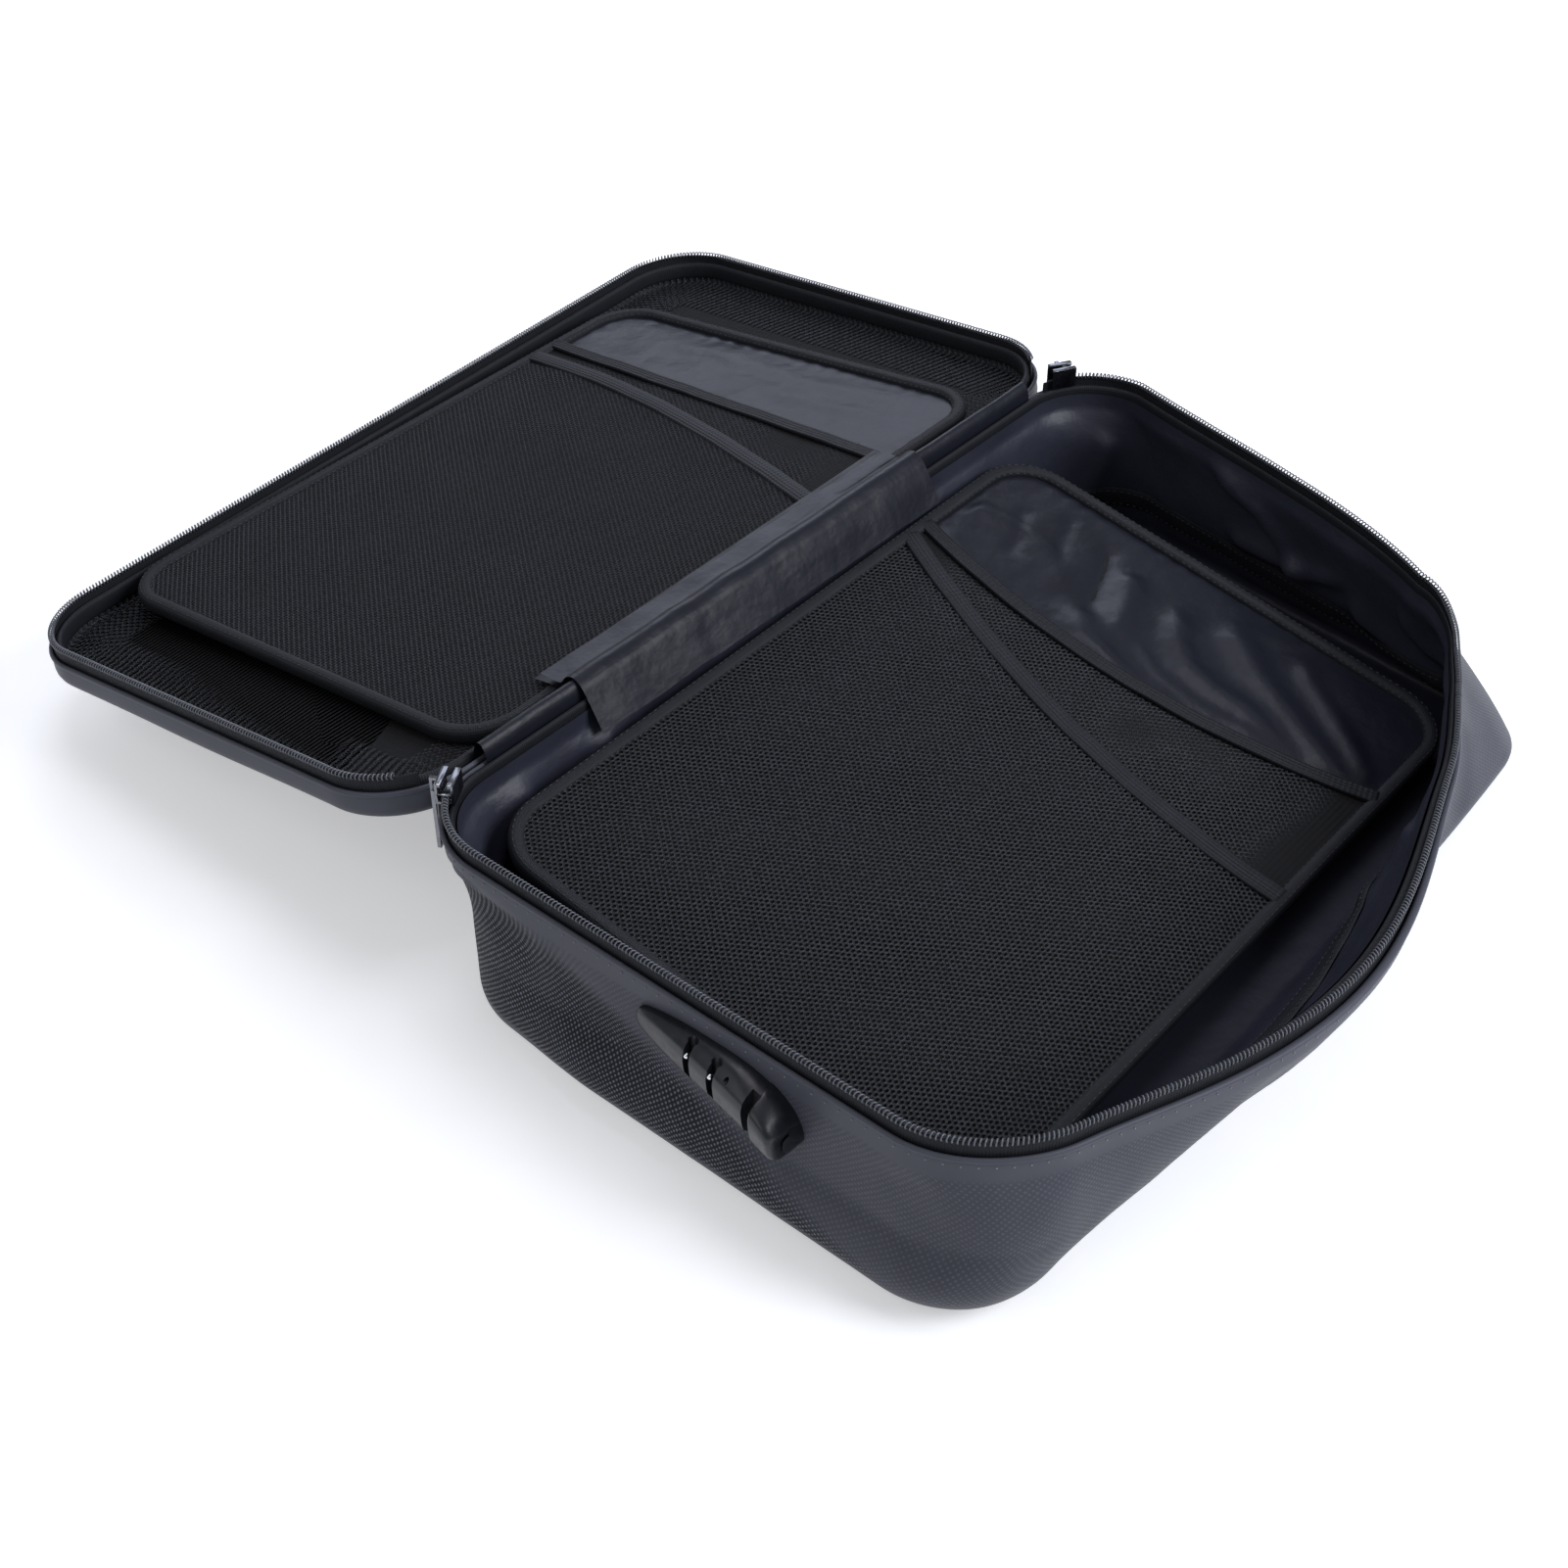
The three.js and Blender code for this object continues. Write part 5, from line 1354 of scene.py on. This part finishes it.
        rows = [row(part, top[k] + pucker * 0.5 + 0.5) for k, part in enumerate(share)]
        rows += [row(part, np.full(len(x), BAND_LOW)) for part in share[::-3]]
        around = np.concatenate([(share + 0.5) * wide, (share[::-3] + 0.5) * wide, [0]])
        uv = np.stack(np.meshgrid(lengths(np.stack([x, y], -1)), around), -1)
        grid = self.place(looped(np.stack(rows)))
        piece = weld(grid_object(f"{self.name}_{which}_elastic", grid, uv, flip=self.mirrored))
        cap_ends(piece)
        return piece


class BAG_OT_pages(bpy.types.Operator):
    """Both pocket pages: satin, two nets, two elastic bands and a bound edge each"""

    bl_idname = "bag.pages"
    bl_label = "Pages"

    def execute(self, context):
        Page("base_page", on_base_page).build()
        Page("lid_page", on_lid_page).build()
        return {"FINISHED"}


class BAG_OT_hinge(bpy.types.Operator):
    """Cloth over the hinge, the lid page's sleeve, and the link strip between the pages"""

    bl_idname = "bag.hinge"
    bl_label = "Hinge cloths"

    def execute(self, context):
        self.hinge_cloth()
        self.sleeve()
        self.link()
        return {"FINISHED"}

    def hinge_cloth(self):
        """An arch over the two back to back shells."""
        radius = HINGE_SPACE / 2 + SHELL + GAP + HINGE_CLOTH / 2
        leg = SHELL_TOP + GAP - AXIS_Z
        rise = 0.8 - leg - HINGE_CLOTH / 2
        angle = np.linspace(0, math.pi, 25)
        arch = [(radius, TAPE_LOW - AXIS_Z)] + list(zip(radius * np.cos(angle), leg + rise * np.sin(angle)))
        arch.append((-radius, LID_TAPE_LOW))
        section = []
        for x, z in arch:
            lean = LID_TILT if x < 0 else 0
            section.append((AXIS_X + x * math.cos(lean) - z * math.sin(lean),
                            AXIS_Z + x * math.sin(lean) + z * math.cos(lean)))
        half = HALF_Y - CORNER - BACK_DRAWN
        self.strip("hinge_cloth_arch", section, -half, half, ("base", "lid"), "hinge_cloth", 0.6)

    def strip(self, name, section, y0, y1, bodies, node_name, uneven, split=None, loose=False):
        """Satin strip along Y with a section in X and Z."""
        section = np.asarray(section, float)
        y = np.linspace(y0, y1, 120)
        run = lengths(section)
        grid = np.stack([np.column_stack([np.full_like(y, x), y, np.full_like(y, z)]) for x, z in section])
        crumple = 0.5 + 0.5 * waves(grid[..., 1], 0.35 * grid[..., 0], 17, 34, 9)
        free = np.ones(len(run)) if loose else fade(run, 0, run[-1] * 0.3) * fade(run, run[-1], run[-1] * 0.7)
        grid[..., 2] += uneven * crumple * free[:, None]
        uv = np.stack(np.meshgrid(y - y0, run), -1)
        piece = grid_object(name, grid, uv, flip=True)
        piece.data.materials.append(finishes().satin)
        if node_name:
            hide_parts(node_name)
        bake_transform(piece)
        return piece

    def sleeve(self):
        """Satin folded round the hinge edge of the lid page."""
        thick = GAP + 0.35
        section = [(-13, PAGE_TOP + thick), (-6, PAGE_TOP + thick + 0.3), (-1, PAGE_TOP + thick),
                   (thick * 0.9, PAGE_TOP - 0.4), (thick + 0.2, PAGE_TOP / 2), (thick * 0.9, 0.4),
                   (-1, -thick), (-7, -thick)]
        section = smooth_path(section, 40)
        middle = SLEEVE_MIDDLE - LID_PAGE_AT[1]
        y = np.linspace(middle - SLEEVE_LONG / 2, middle + SLEEVE_LONG / 2, 110)
        run = lengths(section)
        crumple = 0.5 + 0.5 * waves(y[None, :] + 0 * run[:, None], 0.5 * run[:, None], 31, 30, 9)
        crumple = crumple * fade(run, 0, 6)[:, None] * 0.9 * np.sign(0.6 - run / run[-1])[:, None]
        rows = [np.column_stack([np.full_like(y, -x), y, z + crumple[i]]) for i, (x, z) in enumerate(section)]
        grid = on_lid_page(np.stack(rows))
        uv = np.stack(np.meshgrid(y, run), -1)
        piece = grid_object("lid_page_satin_sleeve", grid, uv, flip=True)
        finish(piece, "lid_page", finishes().satin, "satin_lining", "lid_page_sleeve")

    def link(self):
        """From the sleeve over the hinge to the base page, in three stretches for its three joints."""
        lid_end, on_page = on_lid_page(np.array([[-1.3, 0, PAGE_TOP + 0.65], [9, 0, PAGE_TOP + 2.0]]))
        base_end = on_base_page(np.array([[-1.4, 0, PAGE_TOP]]))[0]
        top = AXIS_Z + 0.8 + GAP + 0.4
        side = HINGE_SPACE / 2 + SHELL + HINGE_CLOTH + 1.0
        shoulder = SHELL_TOP + BINDING_HIGH - TAPE_SEWN + GAP + 0.8
        bend, bend_z = side * 0.86, (shoulder + top) / 2 + 1
        route = smooth_path([
            (on_page[0], on_page[2]), (lid_end[0], lid_end[2] + 0.8), (AXIS_X - bend, bend_z), (AXIS_X, top),
            (AXIS_X + bend, bend_z), (AXIS_X + side + 2.4, shoulder), (base_end[0], base_end[2]),
        ], 60)
        lid_side = np.argmin(np.abs(route[:, 0] - (AXIS_X - bend)))
        base_side = np.argmin(np.abs(route[:, 0] - (AXIS_X + bend)))
        y0, y1 = SLEEVE_MIDDLE - SLEEVE_LONG / 2, SLEEVE_MIDDLE + SLEEVE_LONG / 2
        parts = [
            ("page_link_lid_end", route[:lid_side + 1], ("lid_page", "lid"), "page_link"),
            ("page_link_top", route[lid_side:base_side + 1], ("lid", "base"), None),
            ("page_link_base_end", route[base_side:], ("base", "base_page"), None),
        ]
        for name, section, bodies, node_name in parts:
            start = min(range(len(section)), key=lambda i: abs(section[i][0] - lid_end[0]))
            split = (section[start], section[-1]) if bodies[0] == "lid_page" else None
            self.strip(name, section, y0, y1, bodies, node_name, 1.0, split, loose=True)


def smooth_path(points, count):
    """Even points on a smooth curve through a few points."""
    points = np.asarray(points, float)
    ends = np.vstack([2 * points[0] - points[1], points, 2 * points[-1] - points[-2]])
    fine = []
    for i in range(1, len(ends) - 2):
        p0, p1, p2, p3 = ends[i - 1:i + 3]
        for t in np.linspace(0, 1, 24, endpoint=False):
            fine.append(0.5 * (2 * p1 + (p2 - p0) * t + (2 * p0 - 5 * p1 + 4 * p2 - p3) * t**2
                               + (3 * p1 - p0 - 3 * p2 + p3) * t**3))
    fine.append(points[-1])
    fine = np.array(fine)
    run = lengths(fine)
    even = np.linspace(0, run[-1], count)
    return np.stack([np.interp(even, run, fine[:, k]) for k in range(fine.shape[1])], -1)


def softened(node_name, name, width):
    """Copy of a hard node with its doubles merged and its edges rounded."""
    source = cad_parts[node_name]
    piece = new_object(name, source.data.copy())
    weld(piece, 0.02)
    piece.data.materials.clear()
    bevel = piece.modifiers.new("rounded_edges", "BEVEL")
    bevel.width = width * MM
    bevel.segments = 2
    bevel.limit_method = "ANGLE"
    bevel.angle_limit = math.radians(28)
    bevel.harden_normals = True
    piece.data.polygons.foreach_set("use_smooth", [True] * len(piece.data.polygons))
    return piece


class BAG_OT_metal(bpy.types.Operator):
    """Zip sliders and pulls of plated metal, with rounded edges"""

    bl_idname = "bag.metal"
    bl_label = "Sliders and pulls"

    def execute(self, context):
        made = finishes()
        for end in ("front", "back"):
            for part, width in (("slider", 0.35), ("pull", 0.3)):
                node_name = f"{end}_{part}"
                piece = softened(node_name, f"{end}_zip_{part}", width)
                finish(piece, node_name, made.nickel, "nickel", node_name)
        return {"FINISHED"}


# Lock: its place on the front wall, and how its shell's section runs along it. Each section has its
# share of the length, its share of the depth, and its foot, ridge and top over the ridge's level
LOCK_WALL = -211.3
LOCK_START = -16.0
LOCK_LONG = 72.5
LOCK_RIDGE = 65.0
LOCK_DEPTH = 14.0
LOCK_SECTIONS = np.array([
    (0, 0.05, -7, -5, -3), (0.03, 0.17, -8.8, -2.5, 0.5), (0.2, 0.36, -12, 0, 3.5), (0.39, 0.53, -13.5, 0, 5),
    (0.65, 0.74, -15.5, -0.3, 5), (0.82, 0.86, -17.5, -1.6, 2), (0.91, 0.93, -18.5, -3.6, -1.6),
    (0.955, 0.9, -18.3, -6.5, -5), (0.985, 0.6, -16.5, -9.5, -8.5), (1, 0.15, -14, -12, -11.5),
])
# How far its edge goes into the wall, and how far a cutter stands out of it
LOCK_SUNK = 2.5
CUT_OUT = 30.0
# Keyholes: places, half the slot's width, its depth below the ridge, and the pocket behind it
KEYHOLES = (12.0, 24.0)
SLOT_HALF = 1.6
SLOT_DEEP = 9.5
POCKET_ROUND = 2.2
POCKET_BACK = 3.6
# Round heads of the catch pins, and the hole for the reset pin: place, height over the ridge, radius
STUD = 1.15
RESET_HOLE = (30.5, 2.0, 0.9)
# Button: its ends, how far it stands proud and its round edge, and the room it slides in
BUTTON = (42.5, 54.8)
BUTTON_PROUD = 0.9
BUTTON_ROUND = 1.4
BUTTON_ROOM = (39.7, 55.2)
BUTTON_SEAT = 5.2


class BAG_OT_lock(bpy.types.Operator):
    """Combination lock: moulded housing and button, bright pins, dials and fasteners"""

    bl_idname = "bag.lock"
    bl_label = "Lock"

    def execute(self, context):
        made = finishes()
        shell = self.housing("lock_housing_uncut", LOCK_START, LOCK_START + LOCK_LONG, 96)
        cutters = [self.keyhole(x) for x in KEYHOLES] + [self.reset_hole(), self.button_room()]
        for cutter in cutters:
            cut = shell.modifiers.new("cut", "BOOLEAN")
            cut.operation = "DIFFERENCE"
            cut.object = cutter
            cut.solver = "EXACT"
        graph = bpy.context.evaluated_depsgraph_get()
        body = new_object("lock_housing", bpy.data.meshes.new_from_object(shell.evaluated_get(graph)))
        for spent in [shell, *cutters]:
            bpy.data.objects.remove(spent)
        finish(self.crisp(body), "base", made.plastic, "lock_plastic", "lock_body")
        button = self.housing("lock_slide_button", *BUTTON, 24, BUTTON_PROUD, 1.0)
        finish(self.crisp(button), "lock_button", made.plastic, "lock_plastic", "lock_button")
        for number, x in enumerate(KEYHOLES, 1):
            finish(self.stud(f"catch_stud_{number}", x), "lock_button", made.steel, "steel")
        for name in ("lock_catch", "lock_dial_shaft", "lock_back_plate", "lock_screw_1", "lock_screw_2"):
            paint(name, made.steel)
        for name in ("lock_dial_1", "lock_dial_2", "lock_dial_3"):
            paint(name, made.plastic)
        paint("base_floor_board", made.board)
        return {"FINISHED"}

    def crisp(self, piece):
        """Smooth shading, but with sharp edges where a cut meets the surface."""
        weld(piece, 0.003)
        piece.data.polygons.foreach_set("use_smooth", [True] * len(piece.data.polygons))
        piece.data.set_sharp_from_angle(angle=math.radians(38))
        return piece

    def housing(self, name, x0, x1, steps, proud=0, drop=0):
        """Part of the lock's smooth shell between two places along the wall."""
        table = smooth_path(LOCK_SECTIONS, 400)
        x = np.linspace(x0, x1, steps)
        share = (x - LOCK_START) / LOCK_LONG
        deep, foot, ridge_z, top = (np.interp(share, table[:, 0], table[:, k]) for k in range(1, 5))
        ends = np.minimum(ramp(x, x0, x0 + BUTTON_ROUND), ramp(x, x1, x1 - BUTTON_ROUND))
        full = np.sqrt(np.maximum(0.02, 1 - (1 - ends) ** 2)) if proud else np.ones(len(x))
        rows = []
        for i in range(len(x)):
            d = (LOCK_DEPTH * deep[i] + proud) * full[i]
            low, mid, high = foot[i] - drop * full[i], ridge_z[i] + proud / 2, top[i] + proud / 2
            tall = mid - low
            section = smooth_path([
                (0, low), (0.6 * d, low + 0.06 * tall), (0.9 * d, low + 0.3 * tall), (d, mid - 0.25 * tall),
                (0.97 * d, mid - 0.04 * tall), (0.86 * d, mid + 0.25 * (high - mid) + 0.4),
                (0.45 * d, mid + 0.75 * (high - mid) + 0.4), (0, high),
            ], 40)
            inside = [(-LOCK_SUNK, high), (-LOCK_SUNK, low)]
            rows.append([(x[i], LOCK_WALL - out, LOCK_RIDGE + z) for out, z in [*section, *inside]])
        grid = looped(np.array(rows).transpose(1, 0, 2))
        piece = weld(grid_object(name, grid, np.zeros(grid.shape[:2] + (2,))))
        cap_ends(piece)
        return piece

    def face(self, x):
        """Where the housing's face stands at a place along the wall."""
        share = (x - LOCK_START) / LOCK_LONG
        return LOCK_WALL - LOCK_DEPTH * np.interp(share, LOCK_SECTIONS[:, 0], LOCK_SECTIONS[:, 1])

    def stud(self, name, x):
        """Bright round head of a catch pin, standing in its keyhole just under the ridge."""
        turns = (np.linspace(0, math.pi, 13), np.linspace(0, 2 * math.pi, 25))
        along, around = np.meshgrid(*turns, indexing="ij")
        ring = STUD * np.sin(along)
        grid = np.stack([
            x - 0.9 - STUD * np.cos(along),
            self.face(x) + STUD + 0.5 + ring * np.cos(around),
            LOCK_RIDGE - STUD - 0.3 + ring * np.sin(around),
        ], -1)
        return weld(grid_object(name, grid, np.zeros(grid.shape[:2] + (2,))))

    def prism(self, name, ring, depth):
        """Closed solid between a ring of points and its copy at a distance."""
        count = len(ring)
        points = np.vstack([ring, np.asarray(ring) + depth])
        faces = [(i, (i + 1) % count, count + (i + 1) % count, count + i) for i in range(count)]
        piece = mesh_object(name, points, faces, smooth=False)
        cap_ends(piece)
        return piece

    def button_room(self):
        x0, x1 = BUTTON_ROOM
        y0, y1 = LOCK_WALL - CUT_OUT, LOCK_WALL - BUTTON_SEAT
        z = LOCK_RIDGE - CUT_OUT
        ring = [(x0, y0, z), (x1, y0, z), (x1, y1, z), (x0, y1, z)]
        return self.prism("button_room", ring, (0, 0, 2 * CUT_OUT))

    def reset_hole(self):
        x, z, radius = RESET_HOLE
        angle = 2 * math.pi * np.arange(24) / 24
        y = np.full(24, LOCK_WALL - CUT_OUT)
        ring = np.stack([x + radius * np.cos(angle), y, LOCK_RIDGE + z + radius * np.sin(angle)], -1)
        return self.prism("reset_hole", ring, (0, CUT_OUT + 10, 0))

    def keyhole(self, x):
        """A slot down the front that ends in a round pocket in the top."""
        out, centre, z = LOCK_WALL - CUT_OUT, self.face(x) + POCKET_BACK, LOCK_RIDGE - SLOT_DEEP
        ring = [(x + SLOT_HALF, out, z), (x + SLOT_HALF, centre, z)]
        for angle in np.linspace(0, math.pi, 13):
            ring.append((x + POCKET_ROUND * math.cos(angle), centre + POCKET_ROUND * math.sin(angle), z))
        ring += [(x - SLOT_HALF, centre, z), (x - SLOT_HALF, out, z)]
        return self.prism(f"keyhole_{x}", ring, (0, 0, CUT_OUT))


class BAG_OT_studio(bpy.types.Operator):
    """Pale floor, soft lamps and the camera at the photograph's angle"""

    bl_idname = "bag.studio"
    bl_label = "Studio"

    def execute(self, context):
        self.camera()
        self.floor()
        for name, place, size, power, tint in LAMPS:
            lamp = bpy.data.lights.new(name, "AREA")
            lamp.shape = "SQUARE"
            lamp.size = size
            lamp.energy = power
            lamp.color = linear(tint)[:3]
            held = new_object(name, lamp)
            held.location = place
            held.rotation_euler = (LAMP_TARGET - Vector(place)).to_track_quat("-Z", "Y").to_euler()
        world = bpy.data.worlds.new("studio")
        world.use_nodes = True
        tree = world.node_tree
        tree.nodes.clear()
        light = node(tree, "ShaderNodeBackground", {0: linear("#eef1f6"), 1: WORLD_LEVEL})
        node(tree, "ShaderNodeOutputWorld", {0: light})
        scene = context.scene
        scene.world = world
        scene.view_settings.view_transform = "Standard"
        return {"FINISHED"}

    def camera(self):
        across = math.cos(CAMERA_ELEVATION)
        back = Vector((math.sin(CAMERA_AZIMUTH) * across, -math.cos(CAMERA_AZIMUTH) * across,
                       math.sin(CAMERA_ELEVATION)))
        data = bpy.data.cameras.new("camera")
        data.sensor_width = SENSOR
        data.lens = SENSOR * FOCAL_PIXELS / PICTURE_PIXELS
        held = new_object("camera", data)
        held.location = CAMERA_TARGET + CAMERA_DISTANCE * back
        held.rotation_euler = (-back).to_track_quat("-Z", "Y").to_euler()
        bpy.context.scene.camera = held

    def floor(self):
        # Matt white paint, a little uneven; what the camera sees of it is lifted to paper white
        material, tree, shader = new_material("matt_white_paint", Roughness=0.8, Specular_IOR_Level=0.2)
        coloured(tree, shader, unevenness(tree, 30), "#e9ebee", "#f1f2f4")
        ray = node(tree, "ShaderNodeLightPath").outputs
        mirrored = node(tree, "ShaderNodeMath", {0: ray["Is Glossy Ray"], 1: ray["Is Transmission Ray"]},
                        operation="MAXIMUM")
        seen = node(tree, "ShaderNodeMath", {0: ray["Is Camera Ray"], 1: mirrored}, operation="MAXIMUM")
        lift = node(tree, "ShaderNodeMath", {0: seen, 1: FLOOR_LIFT}, operation="MULTIPLY")
        shader.inputs["Emission Color"].default_value = linear("#ffffff")
        tree.links.new(lift.outputs[0], shader.inputs["Emission Strength"])
        r = FLOOR_REACH
        mesh = bpy.data.meshes.new("floor")
        mesh.from_pydata([(-r, -r, 0), (r, -r, 0), (r, r, 0), (-r, r, 0)], [], [(0, 1, 2, 3)])
        floor = new_object("floor", mesh)
        mesh.materials.append(material)


# Camera fitted to the photograph: angles, distance and target in metres, and its lens
CAMERA_AZIMUTH = math.radians(40.6)
CAMERA_ELEVATION = math.radians(40.4)
CAMERA_DISTANCE = 0.9
CAMERA_TARGET = Vector((-0.072, -0.071, 0.04))
SENSOR = 36
FOCAL_PIXELS = 2365
PICTURE_PIXELS = 1601

# Even light from all round, the floor's own light as rays see it, and the floor's half size in metres
WORLD_LEVEL = 0.34
FLOOR_LIFT = 0.38
FLOOR_REACH = 12.0

# Soft lamps: name, place in metres, size in metres, watts and colour; all look at one point
LAMP_TARGET = Vector((-0.06, 0, 0.03))
LAMPS = [
    ("key_lamp", (1.35, 0.55, 1.15), 1.0, 30, "#f6f8ff"),
    ("window_lamp", (-1.25, 1.15, 1.0), 1.0, 9, "#e4eaff"),
    ("top_lamp", (-0.3, 0.15, 1.7), 0.7, 7, "#f4f3ff"),
    ("fill_lamp", (-0.3, -1.5, 1.3), 1.4, 7, "#ffffff"),
]


class BAG_PT_panel(bpy.types.Panel):
    """Sizes and the steps that build the bag"""

    bl_label = "Document bag"
    bl_idname = "BAG_PT_panel"
    bl_space_type = "VIEW_3D"
    bl_region_type = "UI"
    bl_category = "Bag"

    def draw(self, context):
        for label in BagSizes.__annotations__:
            self.layout.prop(context.scene.bag_sizes, label)
        for step in STEPS:
            self.layout.operator(step.bl_idname)


STEPS = [
    BAG_OT_finishes, BAG_OT_studio, BAG_OT_base_shell, BAG_OT_base_lining, BAG_OT_base_rim, BAG_OT_lid,
    BAG_OT_pages, BAG_OT_hinge, BAG_OT_metal, BAG_OT_lock,
]
CLASSES = [BagSizes, BagFinishes, *STEPS, BAG_PT_panel]


def register():
    for kind in CLASSES:
        bpy.utils.register_class(kind)
    bpy.types.Scene.bag_sizes = bpy.props.PointerProperty(type=BagSizes)
    bpy.types.Scene.bag_finishes = bpy.props.PointerProperty(type=BagFinishes)


def unregister():
    del bpy.types.Scene.bag_finishes
    del bpy.types.Scene.bag_sizes
    for kind in reversed(CLASSES):
        bpy.utils.unregister_class(kind)


def main():
    register()
    for step in STEPS:
        group, name = step.bl_idname.split(".")
        getattr(getattr(bpy.ops, group), name)()


if __name__ == "__main__":
    main()
